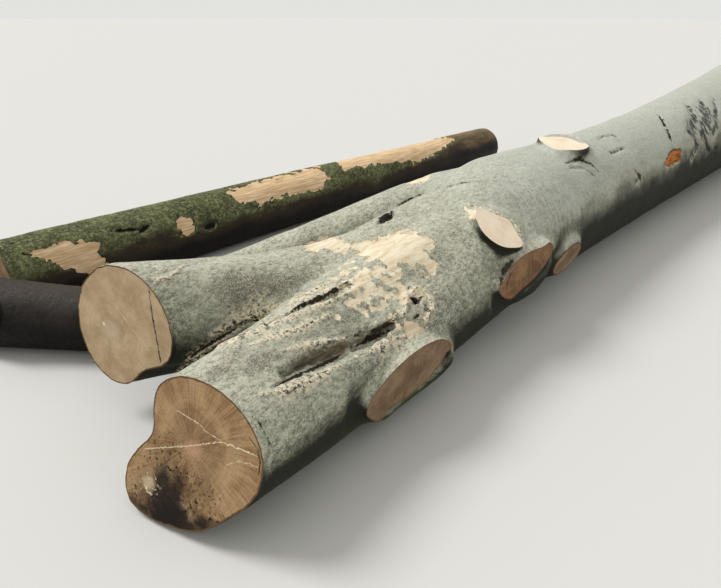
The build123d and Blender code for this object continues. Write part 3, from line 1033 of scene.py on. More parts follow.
class Skin:
    """Points and outward directions of a piece's mesh, and fields over them."""

    def __init__(self, piece: bpy.types.Object) -> None:
        """Reads a mesh.

        Args:
            piece: The piece.
        """
        mesh = piece.data
        count = len(mesh.vertices)
        points = np.empty(count * 3, dtype=np.float32)
        normals = np.empty(count * 3, dtype=np.float32)
        mesh.vertices.foreach_get("co", points)
        mesh.vertex_normals.foreach_get("vector", normals)
        self.points = points.reshape(-1, 3).astype(float)
        self.normals = normals.reshape(-1, 3).astype(float)
        self.pixels, self.depth = VIEW.project(self.points)
        sight = self.points - np.array(VIEW.place)
        sight /= np.linalg.norm(sight, axis=1, keepdims=True)
        self.facing = -(sight * self.normals).sum(axis=1)

    def off_line(self, line: np.ndarray, width: float, ragged: float, seed: float) -> np.ndarray:
        """Distance of every point to a line, as a share of the line's own width there.

        Args:
            line: The places that the line goes through, one a row.
            width: The line's width, which tapers towards its ends.
            ragged: How uneven its edges are.
            seed: Shift of their pattern.

        Returns:
            One share a point, under one inside the line.
        """
        lengths = np.linalg.norm(np.diff(line, axis=0), axis=1)
        whole = max(float(lengths.sum()), 1e-9)
        start_width = width * (1.0 if len(line) == 1 else TAPER)
        best = np.linalg.norm(self.points - line[0], axis=1) / start_width
        passed = 0.0
        for start, end, length in zip(line, line[1:], lengths):
            along = end - start
            square = max(float(along @ along), 1e-12)
            share = np.clip(((self.points - start) @ along) / square, 0.0, 1.0)
            foot = start + share[:, None] * along
            run = (passed + share * length) / whole
            here = width * np.clip(4.0 * np.minimum(run, 1.0 - run), TAPER, 1.0)
            best = np.minimum(best, np.linalg.norm(self.points - foot, axis=1) / here)
            passed += float(length)
        return best * (1.0 + ragged * self.rough(LINE_BUMPS * width, seed, best < LINE_REACH))

    def inside(self, outline: tuple[Pixel, ...]) -> np.ndarray:
        """Signed distance of every point to an outline in the picture.

        Args:
            outline: The outline's pixels.

        Returns:
            One distance in metres a point, positive inside.
        """
        ring = np.array(outline, dtype=float)
        ends = np.roll(ring, -1, axis=0)
        best = np.full(len(self.pixels), 1e9)
        within = np.zeros(len(self.pixels), dtype=bool)
        for start, end in zip(ring, ends):
            along = end - start
            square = max(float(along @ along), 1e-9)
            share = np.clip(((self.pixels - start) @ along) / square, 0.0, 1.0)
            foot = start + share[:, None] * along
            best = np.minimum(best, np.linalg.norm(self.pixels - foot, axis=1))
            spans = (start[1] > self.pixels[:, 1]) != (end[1] > self.pixels[:, 1])
            rise = end[1] - start[1] if abs(end[1] - start[1]) > 1e-9 else 1e-9
            crossing = start[0] + (self.pixels[:, 1] - start[1]) * along[0] / rise
            within ^= spans & (self.pixels[:, 0] < crossing)
        signed = np.where(within, best, -best) * self.depth / VIEW.focal_px
        return np.where(self.facing > TURNED_AWAY, signed, -1.0)

    def near_by(self, end: float, span: float, least: float) -> np.ndarray:
        """Weights that fall with depth, to the least one at most.

        Args:
            end: Depth at which they would be zero.
            span: Depth over which they fall from one.
            least: The least weight.

        Returns:
            One weight a point.
        """
        return np.clip((end - self.depth) / span, least, 1.0)

    def rough(self, size: float, seed: float, where: np.ndarray) -> np.ndarray:
        """Noise around zero at the points that a mask picks.

        Args:
            size: Width of the noise's bumps.
            seed: Shift of the pattern.
            where: True for points that need it.

        Returns:
            One number a point, zero elsewhere.
        """
        result = np.zeros(len(self.points))
        for index in np.flatnonzero(where):
            spot = Vector(self.points[index]) / size + Vector((seed, seed, seed))
            result[index] = noise.fractal(spot, 0.7, 2.1, 4)
        return result


@dataclass
class Log:
    """A log: an even skin over its solid, with sawn ends, carved bark and materials."""

    node: str
    slot: str
    bark: object
    voxel: float
    cuts: tuple[Cut, ...]
    carvings: tuple[Carving, ...] = ()
    patches: tuple[Patch, ...] = ()
    bosses: tuple[Boss, ...] = ()
    smoothing: int = 14
    swell: float = 0.008
    swell_size: float = 0.32
    swell_middle: float = 0.62
    grain: float = 0.0025
    grain_size: float = 0.018
    grain_middle: float = 0.55
    faces_kept: int = 180000
    crease_degrees: float = 50.0

    def build(self, effects: Effects) -> bpy.types.Object:
        """Builds the log.

        Args:
            effects: Shared node groups.

        Returns:
            The finished piece.
        """
        piece = self.take()
        sheets = [self.find_sheet(piece, cut) for cut in self.cuts]
        apply(piece, "REMESH", mode="VOXEL", voxel_size=self.voxel)
        for number, boss in enumerate(self.bosses):
            self.reshape(piece, boss, sheets[boss.cut], number)
        if self.bosses:
            apply(piece, "REMESH", mode="VOXEL", voxel_size=self.voxel)
        apply(piece, "SMOOTH", factor=0.5, iterations=self.smoothing)
        self.refine(piece)
        for number, (cut, sheet) in enumerate(zip(self.cuts, sheets)):
            self.saw(piece, cut, sheet, number + 1)
        self.relieve(piece, sheets)
        self.thin(piece)
        for number, sheet in enumerate(sheets):
            self.lay_out(piece, sheet, number + 1)
        self.mark(piece)
        self.dress(piece, sheets, effects)
        return piece

    def take(self) -> bpy.types.Object:
        """Copies the log's solid from the frame and merges its corners.

        Returns:
            The copy.
        """
        quiet()
        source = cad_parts[self.node]
        piece = bpy.data.objects.new(self.node + "_wood", source.data.copy())
        piece.data.materials.clear()
        bpy.context.collection.objects.link(piece)
        activate(piece)
        bpy.ops.object.mode_set(mode="EDIT")
        bpy.ops.mesh.select_all(action="SELECT")
        bpy.ops.mesh.remove_doubles(threshold=1e-5)
        bpy.ops.object.mode_set(mode="OBJECT")
        return piece

    @staticmethod
    def find_sheet(piece: bpy.types.Object, cut: Cut) -> Sheet:
        """Finds the flat face of the solid that a cut made.

        Args:
            piece: The merged copy of the solid.
            cut: The cut, with a place near its middle.

        Returns:
            The face's plane.
        """
        near = Vector(cut.near)
        groups: dict[tuple, list] = {}
        for polygon in piece.data.polygons:
            if (polygon.center - near).length < FACE_NEAR:
                plane = (*polygon.normal, polygon.normal.dot(polygon.center))
                groups.setdefault(tuple(round(part, 2) for part in plane), []).append(polygon)
        best, best_off = None, 1e9
        for polygons in groups.values():
            area = sum(polygon.area for polygon in polygons)
            middle = sum((polygon.center * polygon.area for polygon in polygons), Vector()) / area
            reach = max(
                (piece.data.vertices[index].co - middle).length
                for polygon in polygons for index in polygon.vertices
            )
            if area > max(FACE_AREA, FACE_FILL * reach**2) and (middle - near).length < best_off:
                normal = sum((polygon.normal * polygon.area for polygon in polygons), Vector())
                best, best_off = Sheet(middle, normal.normalized(), reach), (middle - near).length
        if best is None:
            raise ValueError(f"no sawn face near {cut.near}")
        if cut.pith:
            best.pith = best.hit(cut.pith)
        return best

    def refine(self, piece: bpy.types.Object) -> None:
        """Gives the piece finer faces where finer bark shows. Plain logs need none."""

    def saw(self, piece: bpy.types.Object, cut: Cut, sheet: Sheet, slot_number: int) -> None:
        """Cuts the rounded end off again, flat and crisp.

        Args:
            piece: The piece.
            cut: The cut.
            sheet: The face's plane.
            slot_number: Material slot of the face.
        """
        reach = sheet.radius + CUT_REACH
        back = max(cut.lip, CUT_BACK)
        edit_faces(piece, lambda model: self.beyond(model, sheet, reach, back))
        bpy.ops.mesh.bisect(
            plane_co=sheet.middle - sheet.normal * back, plane_no=sheet.normal,
            use_fill=False, clear_outer=True, threshold=0.0001,
        )
        bpy.ops.mesh.select_mode(type="EDGE")
        if cut.lip > 0.0:
            bpy.ops.mesh.extrude_edges_move(
                TRANSFORM_OT_translate={"value": sheet.normal * back, "orient_type": "GLOBAL"}
            )
        bpy.ops.mesh.edge_face_add()
        model = bmesh.from_edit_mesh(piece.data)
        for face in model.faces:
            away = face.calc_center_median() - sheet.middle
            level = abs(away.dot(sheet.normal) + (0.0 if cut.lip > 0.0 else back))
            if level < CUT_LEVEL and away.length < reach and face.normal.dot(sheet.normal) > CUT_SQUARE:
                face.material_index = slot_number
        bmesh.update_edit_mesh(piece.data)
        bpy.ops.object.mode_set(mode="OBJECT")

    @staticmethod
    def beyond(model: bmesh.types.BMesh, sheet: Sheet, reach: float, back: float) -> set:
        """Faces past a cut's plane that hang together with the sawn face.

        Args:
            model: The mesh.
            sheet: The face's plane.
            reach: How far from its middle the faces may be.
            back: How far behind the face's plane the cut is.

        Returns:
            The faces.
        """
        def off(face: bmesh.types.BMFace) -> float:
            """Distance of a face from the sawn face's middle."""
            return (face.calc_center_median() - sheet.middle).length

        def front(face: bmesh.types.BMFace) -> float:
            """How far a face reaches in front of the sawn face's plane."""
            return max((vert.co - sheet.middle).dot(sheet.normal) for vert in face.verts)

        start = min(model.faces, key=off)
        found, waiting = {start}, [start]
        while waiting:
            for corner in waiting.pop().verts:
                for face in corner.link_faces:
                    if face not in found and off(face) < reach and front(face) > -back - 1e-4:
                        found.add(face)
                        waiting.append(face)
        return found

    @staticmethod
    def lay_out(piece: bpy.types.Object, sheet: Sheet, slot_number: int) -> None:
        """Makes a sawn face one face again, with an even rim, and lays its sheet out on it.

        Args:
            piece: The piece.
            sheet: The face's plane.
            slot_number: Material slot of the face.
        """
        def sawn(model: bmesh.types.BMesh) -> list[bmesh.types.BMFace]:
            """Faces of the sawn face."""
            return [face for face in model.faces if face.material_index == slot_number]

        edit_faces(piece, sawn)
        bpy.ops.mesh.dissolve_faces()
        bpy.ops.mesh.inset(thickness=RIM_WIDTH, depth=0.0)
        model = bmesh.from_edit_mesh(piece.data)
        sheet_layer = model.loops.layers.uv.get(SHEET_LAYER) or model.loops.layers.uv.new(SHEET_LAYER)
        for face in sawn(model):
            for loop in face.loops:
                loop[sheet_layer].uv = sheet.flatten(loop.vert.co)
        bmesh.update_edit_mesh(piece.data)
        bpy.ops.object.mode_set(mode="OBJECT")

    def land(self, pixel: Pixel) -> np.ndarray:
        """The skin's point that shows at a pixel.

        Args:
            pixel: Place in the picture.

        Returns:
            The point.
        """
        start = Vector(VIEW.place)
        hit = self.surface.ray_cast(start, VIEW.ray(pixel))[0]
        if hit is None:
            hit = self.surface.find_nearest(start + VIEW.ray(pixel) * 4.0)[0]
        return np.array(hit)

    @staticmethod
    def weigh(piece: bpy.types.Object, name: str, weights: np.ndarray) -> None:
        """Writes a vertex group.

        Args:
            piece: The piece.
            name: The group's name.
            weights: One weight from 0 to 1 a point.
        """
        layer = piece.vertex_groups.new(name=name)
        steps = np.round(np.clip(weights, 0.0, 1.0) * WEIGHT_STEPS).astype(int)
        for step in range(1, WEIGHT_STEPS + 1):
            members = np.flatnonzero(steps == step)
            if len(members):
                layer.add(members.tolist(), step / WEIGHT_STEPS, "REPLACE")

    def push(self, piece: bpy.types.Object, name: str, weights: np.ndarray, strength: float,
             texture: bpy.types.Texture | None = None, middle: float = 0.0) -> None:
        """Moves the skin in or out where a group of points weighs.

        Args:
            piece: The piece.
            name: The group's name.
            weights: One weight from 0 to 1 a point.
            strength: Distance outwards.
            texture: A pattern, or none for an even push.
            middle: The pattern's value that moves nothing.
        """
        self.weigh(piece, name, weights)
        settings = {"strength": strength, "vertex_group": name, "mid_level": middle}
        if texture:
            settings.update(texture=texture, texture_coords="LOCAL")
        apply(piece, "DISPLACE", **settings)

    @staticmethod
    def clouds(name: str, size: float) -> bpy.types.Texture:
        """A cloudy pattern for relief.

        Args:
            name: The pattern's name.
            size: Width of its bumps.

        Returns:
            The pattern.
        """
        texture = bpy.data.textures.new(name, "CLOUDS")
        texture.noise_scale = size
        return texture

    @staticmethod
    def clear_of_faces(skin: Skin, sheets: list[Sheet]) -> np.ndarray:
        """Weights that are zero on the sawn faces and the ground, and rise to one off them.

        Args:
            skin: The piece's points.
            sheets: The sawn faces' planes.

        Returns:
            One weight a point.
        """
        weights = np.clip((skin.points[:, 2] - GROUND_GAP) / GROUND_FADE, 0.0, 1.0)
        for sheet in sheets:
            away = skin.points - np.array(sheet.middle)
            level = np.abs(away @ np.array(sheet.normal))
            span = np.linalg.norm(away, axis=1)
            close = (span < sheet.radius + FACE_ROUND) & (level < FACE_FADE)
            rising = np.clip((level - FACE_GAP) / FACE_FADE, 0.0, 1.0)
            weights = np.where(close, np.minimum(weights, rising), weights)
        return weights

    def relieve(self, piece: bpy.types.Object, sheets: list[Sheet]) -> None:
        """Swells, carves and roughens the bark.

        Args:
            piece: The piece.
            sheets: The sawn faces' planes.
        """
        skin = Skin(piece)
        self.surface = BVHTree.FromObject(piece, bpy.context.evaluated_depsgraph_get())
        clear = self.clear_of_faces(skin, sheets)
        swell = self.clouds("swell", self.swell_size)
        self.push(piece, "swell", clear, self.swell, swell, self.swell_middle)
        near = clear * skin.near_by(5.0, 3.0, 0.15)
        grain = self.clouds("grain", self.grain_size)
        self.push(piece, "grain", near, self.grain, grain, self.grain_middle)
        for number, carving in enumerate(self.carvings):
            if carving.depth:
                off = self.off_carving(skin, number, carving)
                self.push(piece, f"carving {number}", np.exp(-(off**2)) * (clear > 0.0), -carving.depth)
        for number, patch in enumerate(self.patches):
            if patch.sunk:
                inner = np.clip(self.in_patch(skin, number, patch) / patch.step + 0.5, 0.0, 1.0)
                self.push(piece, f"patch {number}", inner * clear, -patch.sunk)

    def off_carving(self, skin: Skin, number: int, carving: Carving) -> np.ndarray:
        """Distance of every point of the skin to a carving's line, as a share of its width."""
        line = np.array([self.land(pixel) for pixel in carving.pixels])
        return skin.off_line(line, carving.width, carving.ragged, number * LINE_SHIFT)

    @staticmethod
    def in_patch(skin: Skin, number: int, patch: Patch) -> np.ndarray:
        """Distance of every point of the skin to a patch's ragged edge, positive inside."""
        field = skin.inside(patch.pixels)
        rough = skin.rough(PATCH_BUMPS, number * PATCH_SHIFT, np.abs(field) < PATCH_REACH)
        return field + patch.ragged * rough

    def reshape(self, piece: bpy.types.Object, boss: Boss, sheet: Sheet, number: int) -> None:
        """Fills a stub out to its outline in the picture, and trims it outside the outline.

        Args:
            piece: The piece.
            boss: The stub.
            sheet: The plane of its sawn face.
            number: The stub's number.
        """
        skin = Skin(piece)
        field = skin.inside(boss.pixels)
        away = skin.points - np.array(sheet.middle)
        close = np.linalg.norm(away, axis=1) < sheet.radius + boss.reach
        level = away @ np.array(sheet.normal)
        filled = close * np.clip(field / boss.slope + 0.5, 0.0, 1.0)
        outer = close * np.clip(0.2 - field / boss.trim, 0.0, 1.0)
        trimmed = outer * np.clip(1.0 + level / boss.root, 0.0, 1.0)
        self.push(piece, f"boss {number}", filled, boss.rise)
        self.push(piece, f"trim {number}", trimmed, -boss.fall)

    def thin(self, piece: bpy.types.Object) -> None:
        """Thins the faces out where they show least, down to the piece's share.

        Args:
            piece: The piece.
        """
        corners = sum(len(polygon.vertices) - 2 for polygon in piece.data.polygons)
        if corners > self.faces_kept:
            skin = Skin(piece)
            need = np.clip((skin.facing + 0.35) / 0.5, 0.0, 1.0) * skin.near_by(6.5, 4.0, 0.1)
            self.weigh(piece, "need", 1.0 - need)
            ratio = self.faces_kept / corners
            apply(piece, "DECIMATE", ratio=ratio, vertex_group="need", vertex_group_factor=6.0)

    def mark(self, piece: bpy.types.Object) -> None:
        """Writes the fields that the materials read.

        Args:
            piece: The piece.
        """
        skin = Skin(piece)
        self.surface = BVHTree.FromObject(piece, bpy.context.evaluated_depsgraph_get())
        fields = {mark: np.zeros(len(skin.points)) for mark in Mark}
        for mark in (Mark.BARE, Mark.TORN, Mark.GULLY):
            fields[mark] -= 1.0
        for number, carving in enumerate(self.carvings):
            if carving.marks:
                off = self.off_carving(skin, number, carving)
                for mark, spread in carving.marks:
                    fields[mark] = np.maximum(fields[mark], np.exp(-((off / spread) ** 2)))
        for number, patch in enumerate(self.patches):
            fields[patch.mark] = np.maximum(fields[patch.mark], self.in_patch(skin, number, patch))
        fields[Mark.RIM] += 1.0
        for polygon in piece.data.polygons:
            if polygon.material_index == 0:
                fields[Mark.RIM][list(polygon.vertices)] = 0.0
        for mark, values in fields.items():
            layer = piece.data.attributes.new(mark.value, "FLOAT", "POINT")
            layer.data.foreach_set("value", values.astype(np.float32))

    def dress(self, piece: bpy.types.Object, sheets: list[Sheet], effects: Effects) -> None:
        """Gives the piece its materials and its place in the frame.

        Args:
            piece: The piece.
            sheets: The sawn faces' planes.
            effects: Shared node groups.
        """
        piece.vertex_groups.clear()
        piece.data.materials.append(self.bark.material(effects))
        for cut, sheet in zip(self.cuts, sheets):
            piece.data.materials.append(cut.finish.material(effects, sheet))
        activate(piece)
        bpy.ops.object.shade_smooth_by_angle(angle=math.radians(self.crease_degrees))
        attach(piece, "root")
        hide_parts(self.node)
        quiet()


PALE_LINE = tone(232, 214, 182)
DARK_LINE = tone(48, 34, 24)
SOOT = tone(26, 19, 15)

NEAR_END = SawnWood(
    "near_stem_sawn_wood", wood=tone(132, 103, 71), light=tone(168, 140, 103), heart=tone(98, 70, 46),
    heart_reach=0.13, heart_share=0.45, ray_share=0.75, saw_share=0.25, saw_turn=2.6, ring_share=0.25,
    stains=(
        Stain((164.0, 508.0), 0.14, SOOT, 0.95, (1.15, 0.75, 0.0)),
        Stain((180.0, 528.0), 0.11, SOOT, 0.93, (0.6, 1.2, 0.0)),
        Stain((215.0, 530.0), 0.07, SOOT, 0.75, (0.6, 1.8, 0.0)),
        Stain((200.0, 492.0), 0.06, tone(70, 50, 36), 0.35, (0.8, 1.6, 0.0), 90.0),
        Stain((132.0, 505.0), 0.05, tone(52, 40, 30), 0.8),
        Stain((149.0, 483.0), 0.035, tone(206, 190, 160), 0.5),
        Stain((193.0, 450.0), 0.045, tone(190, 150, 118), 0.45, (1.0, 1.4, 0.0), 200.0),
    ),
    lines=(
        FaceLine(
            trail(144, 449, 187, 446, 221, 442, 240, 449, 259, 457),
            0.0026, PALE_LINE, strength=0.8,
        ),
        FaceLine(
            trail(176, 410, 188, 417, 199, 424, 207, 432, 221, 441),
            0.0018, PALE_LINE, strength=0.8,
        ),
        FaceLine(trail(226, 465, 241, 461, 259, 468), 0.0018, PALE_LINE, strength=0.6),
        FaceLine(trail(250, 438, 258, 450, 260, 464, 259, 476), 0.004, DARK_LINE, True, 0.95, 1.5),
    ),
)
FAR_END = SawnWood(
    "far_stem_sawn_wood", wood=tone(164, 140, 108), light=tone(190, 168, 136), heart=tone(140, 115, 86),
    heart_reach=0.07, heart_share=0.3, ray_share=0.25, saw_share=0.35, saw_turn=0.3, ring_share=0.25,
    stains=(
        Stain((111.0, 330.0), 0.05, tone(204, 184, 158), 0.4, (1.0, 1.0, 0.0), 220.0),
        Stain((104.0, 324.0), 0.008, tone(236, 224, 200), 0.9),
    ),
    lines=(
        FaceLine(trail(149, 289, 151, 306, 155, 330, 161, 363), 0.005, DARK_LINE, True, 0.97, 2.0),
        FaceLine(trail(115, 305, 130, 326, 148, 350), 0.0022, PALE_LINE, True, 0.7),
    ),
)
STUB_BROWN = SawnWood(
    "brown_stub_wood", wood=tone(114, 90, 68), light=tone(150, 126, 98), heart=tone(84, 62, 44),
    heart_reach=0.08, heart_share=0.4, ray_share=0.5, saw_share=0.5, saw_turn=0.2, ring_share=0.4,
    rim=tone(112, 80, 56),
)
STUB_DARK = SawnWood(
    "dark_stub_wood", wood=tone(112, 84, 60), light=tone(150, 118, 86), heart=tone(70, 48, 32),
    heart_reach=0.07, heart_share=0.5, ray_share=0.7, saw_share=0.8, saw_turn=0.15, ring_share=0.65,
    rim=tone(122, 78, 52),
    lines=(FaceLine(trail(509, 288, 511, 279, 515, 270), 0.008, DARK_LINE, True, 0.95, 2.0),),
)
STUB_PALE = SawnWood(
    "pale_stub_wood", wood=tone(230, 208, 182), light=tone(240, 224, 202), heart=tone(212, 184, 156),
    heart_reach=0.05, heart_share=0.3, ray_share=0.25, saw_share=0.3, saw_turn=0.9, ring_share=0.25,
    rim=tone(226, 214, 192), rim_width=0.7,
)
LIMB_END = SawnWood("limb_sawn_wood", saw_turn=1.2)
BUTT_END = SawnWood("butt_sawn_wood", heart_reach=0.3, heart_share=0.55, saw_turn=0.1)
MOSSY_END = SawnWood(
    "mossy_end_wood", wood=tone(140, 106, 76), light=tone(168, 134, 100), heart=tone(96, 66, 46),
    saw_turn=0.6,
)
FELLED_END = SawnWood(
    "felled_end_wood", wood=tone(146, 112, 98), light=tone(178, 146, 128), heart=tone(112, 80, 66),
    ring_share=0.2, ray_share=0.3, saw_share=0.75, saw_turn=1.5, rim=tone(190, 160, 110), rim_width=0.5,
)
DARK_TOP_END = SawnWood(
    "dark_top_wood", wood=tone(120, 92, 74), light=tone(150, 120, 98), heart=tone(84, 60, 46),
)

CRACKED = ((Mark.CRACK, 1.0), (Mark.FLAKY, 2.6))
FLAKES = ((Mark.FLAKY, 1.4),)
SCARRED = ((Mark.SCAR, 1.2),)


@dataclass
class ForkedTrunk(Log):
    """The forked trunk, whose near side is finer than the rest."""

    fine_depth: float = 3.7
    fine_turn: float = 0.1

    def shows_near(self, face: bmesh.types.BMFace) -> bool:
        """Tells whether a face is near the viewpoint and turned towards it."""
        away = face.calc_center_median() - Vector(VIEW.place)
        turn = face.normal.dot(away.normalized())
        return away.dot(Vector(VIEW.forward)) < self.fine_depth and turn < self.fine_turn

    def refine(self, piece: bpy.types.Object) -> None:
        """Halves the faces that show near by.

        Args:
            piece: The piece.
        """
        edit_faces(piece, lambda model: filter(self.shows_near, model.faces))
        bpy.ops.mesh.subdivide(number_cuts=1, smoothness=0.0)
        bpy.ops.mesh.vertices_smooth(factor=0.5, repeat=3)
        bpy.ops.object.mode_set(mode="OBJECT")


def forked_trunk() -> ForkedTrunk:
    """The forked trunk with its cuts, carvings and patches."""
    return ForkedTrunk(
        node="forked_trunk", slot="smooth_bark", bark=SmoothBark(), voxel=0.015,
        cuts=(
            Cut((-3.89, -1.07, 0.28), NEAR_END, (192.0, 446.0)),
            Cut((-3.74, -0.33, 0.43), FAR_END, (111.0, 330.0)),
            Cut((-3.11, 0.08, 0.25), LIMB_END),
            Cut((4.03, -0.78, 0.55), BUTT_END),
            Cut((-3.04, -1.27, 0.25), STUB_BROWN, lip=0.0),
            Cut((-2.02, -1.24, 0.38), STUB_DARK, lip=0.0),
            Cut((-1.51, -1.20, 0.30), STUB_BROWN, lip=0.0),
            Cut((-2.11, -1.12, 0.66), STUB_PALE, lip=0.0),
            Cut((-0.99, -0.85, 0.85), STUB_PALE, lip=0.0),
        ),
        carvings=(
            Carving(
                trail(284, 316, 292, 312, 300, 306, 314, 300, 322, 298, 334, 291, 348, 282),
                0.013, 0.035, CRACKED, 0.65,
            ),
            Carving(
                trail(212, 334, 238, 320, 268, 310, 300, 298, 340, 276),
                0.04, -0.002, ((Mark.FLAKY, 1.1),),
            ),
            Carving(trail(250, 345, 275, 336, 300, 328, 330, 314), 0.03, -0.002, ((Mark.FLAKY, 0.7),)),
            Carving(
                trail(236, 330, 246, 322, 258, 320, 266, 325, 276, 318, 290, 313),
                0.007, 0.01, CRACKED,
            ),
            Carving(
                trail(180, 364, 192, 356, 202, 349, 220, 338, 237, 328, 251, 320),
                0.008, 0.012, CRACKED,
            ),
            Carving(
                trail(
                    179, 371, 200, 356, 221, 345, 245, 335, 267, 327, 290, 318, 312, 309, 335, 300,
                    356, 290,
                ),
                0.018, -0.008, FLAKES,
            ),
            Carving(
                trail(284, 372, 300, 365, 320, 357, 345, 348, 370, 337, 392, 324),
                0.042, 0.03, (), 0.1,
            ),
            Carving(
                trail(275, 387, 290, 379, 312, 369, 335, 358, 352, 350),
                0.008, 0.01, ((Mark.CRACK, 1.2),),
            ),
            Carving(
                trail(356, 346, 370, 339, 384, 331, 394, 322),
                0.022, 0.018, ((Mark.CRACK, 0.7),), 0.9,
            ),
            Carving(trail(283, 351, 300, 347, 322, 342, 346, 338), 0.011, -0.006, FLAKES),
            Carving(trail(262, 394, 285, 391, 310, 380, 340, 366), 0.018, -0.003, FLAKES),
            Carving(trail(368, 352, 385, 344, 405, 336), 0.024, -0.003, FLAKES),
            Carving(trail(410, 298, 416, 301, 421, 298), 0.014, 0.03, CRACKED, 0.9),
            Carving(trail(426, 306, 429, 312), 0.009, 0.02, CRACKED, 0.9),
            Carving(trail(414, 319, 419, 314), 0.008, 0.016, CRACKED, 0.9),
            Carving(
                trail(404, 314, 408, 296, 417, 288, 428, 293, 433, 306, 426, 320),
                0.02, -0.012, FLAKES, 0.9,
            ),
            Carving(trail(412, 270, 424, 274, 433, 284), 0.01, -0.006, FLAKES, 0.9),
            Carving(trail(350, 284), 0.01, 0.014, ((Mark.CRACK, 1.0), (Mark.FLAKY, 2.0))),
            Carving(trail(389, 212, 400, 205, 410, 199, 422, 194), 0.012, 0.014, ((Mark.CRACK, 0.9),)),
            Carving(
                trail(422, 194, 436, 189, 450, 186, 472, 182, 499, 181),
                0.007, 0.006, ((Mark.SCAR, 1.6),),
            ),
            Carving(trail(380, 222, 391, 212), 0.035, 0.05, ((Mark.CRACK, 1.1),)),
            Carving(trail(246, 410, 260, 424, 269, 440, 273, 463), 0.004, 0.005, ((Mark.CRACK, 0.7),)),
            Carving(trail(150, 287, 158, 280, 172, 276, 183, 266), 0.008, -0.006, FLAKES),
            Carving(
                trail(657, 113, 664, 124, 670, 138, 673, 150),
                0.014, 0.012, ((Mark.CRACK, 0.8), (Mark.SCAR, 1.5)),
            ),
            Carving(trail(686, 104, 694, 118, 690, 132, 697, 146, 692, 158), 0.07, 0.012, SCARRED),
            Carving(trail(700, 100, 706, 116, 702, 134, 708, 150), 0.12, 0.01, SCARRED, 0.9),
            Carving(trail(713, 98, 716, 120, 712, 138), 0.05, 0.01, SCARRED),
            Carving(
                trail(480, 190, 525, 188, 560, 200, 585, 212),
                0.19, 0.0, ((Mark.SCUFF, 1.0),), 0.9,
            ),
            Carving(
                trail(215, 372, 245, 362, 285, 344, 330, 326, 375, 312),
                0.085, 0.0, ((Mark.DULL, 1.0),), 0.9,
            ),
            Carving(trail(190, 300, 235, 292, 300, 282), 0.1, 0.0, ((Mark.DULL, 0.8),), 0.9),
            Carving(trail(634, 170, 640, 178, 636, 184), 0.02, 0.008, SCARRED),
            Carving(trail(597, 141, 603, 136, 613, 135, 622, 142), 0.01, 0.012, SCARRED),
            Carving(trail(604, 149, 612, 153, 624, 148, 628, 152), 0.01, 0.012, SCARRED),
            Carving(trail(566, 163, 580, 160, 590, 163, 599, 172), 0.014, 0.014, ((Mark.CRACK, 0.5),)),
            Carving(trail(570, 168, 584, 168, 596, 177), 0.012, 0.01, ()),
            Carving(trail(500, 285, 504, 272, 512, 260), 0.02, 0.01, SCARRED),
            Carving(trail(514, 222, 520, 234, 524, 248), 0.026, -0.006, FLAKES),
            Carving(trail(468, 204, 480, 207, 494, 212, 512, 220), 0.016, -0.003, FLAKES),
        ),
        bosses=(
            Boss(
                4, trail(
                    366, 412, 371, 418, 397, 417, 423, 402, 444, 380, 453, 354, 445, 341, 430, 337,
                    413, 345, 393, 367, 375, 393,
                ),
                0.045,
            ),
            Boss(
                5, trail(
                    498, 289, 500, 297, 512, 298, 535, 278, 551, 257, 553, 246, 545, 240, 530, 245,
                    512, 264,
                ),
                0.035,
            ),
            Boss(
                7, trail(
                    474, 219, 481, 212, 491, 213, 511, 221, 518, 237, 521, 247, 500, 247, 479, 234,
                ),
                0.06,
            ),
            Boss(
                8, trail(
                    536, 138, 545, 136, 572, 137, 584, 142, 589, 151, 576, 158, 556, 156, 545, 149,
                ),
                0.04,
            ),
        ),
        patches=(
            Patch(
                trail(300, 250, 308, 242, 321, 236, 340, 238, 351, 245, 354, 250, 340, 251, 316, 250),
            ),
            Patch(
                trail(
                    350, 244, 383, 238, 394, 231, 415, 231, 434, 240, 436, 248, 424, 250, 434, 258,
                    436, 272, 429, 275, 421, 266, 407, 264, 395, 262, 399, 272, 389, 272, 378, 258,
                    362, 256,
                ),
            ),
            Patch(
                trail(
                    340, 285, 356, 270, 378, 272, 391, 283, 399, 296, 391, 307, 367, 304, 354, 299,
                    346, 293,
                ),
                ragged=0.19,
            ),
            Patch(
                trail(401, 330, 404, 318, 410, 322, 420, 326, 426, 318, 424, 332, 410, 340),
                ragged=0.02,
            ),
            Patch(
                trail(466, 212, 464, 206, 472, 209, 485, 213, 478, 219, 470, 218),
                ragged=0.008, sunk=0.002,
            ),
            Patch(
                trail(
                    276, 387, 284, 374, 290, 362, 303, 352, 322, 345, 345, 340, 362, 334, 380, 324,
                    398, 314, 402, 320, 381, 336, 356, 347, 335, 359, 312, 370, 290, 379,
                ),
                Mark.GULLY, 0.015, 0.0,
            ),
            Patch(trail(404, 182, 418, 176, 431, 174, 427, 180, 412, 185), ragged=0.01),
            Patch(
                trail(664, 166, 668, 157, 674, 150, 681, 150, 680, 160, 669, 167),
                Mark.TORN, 0.01, 0.012,
            ),
        ),
    )


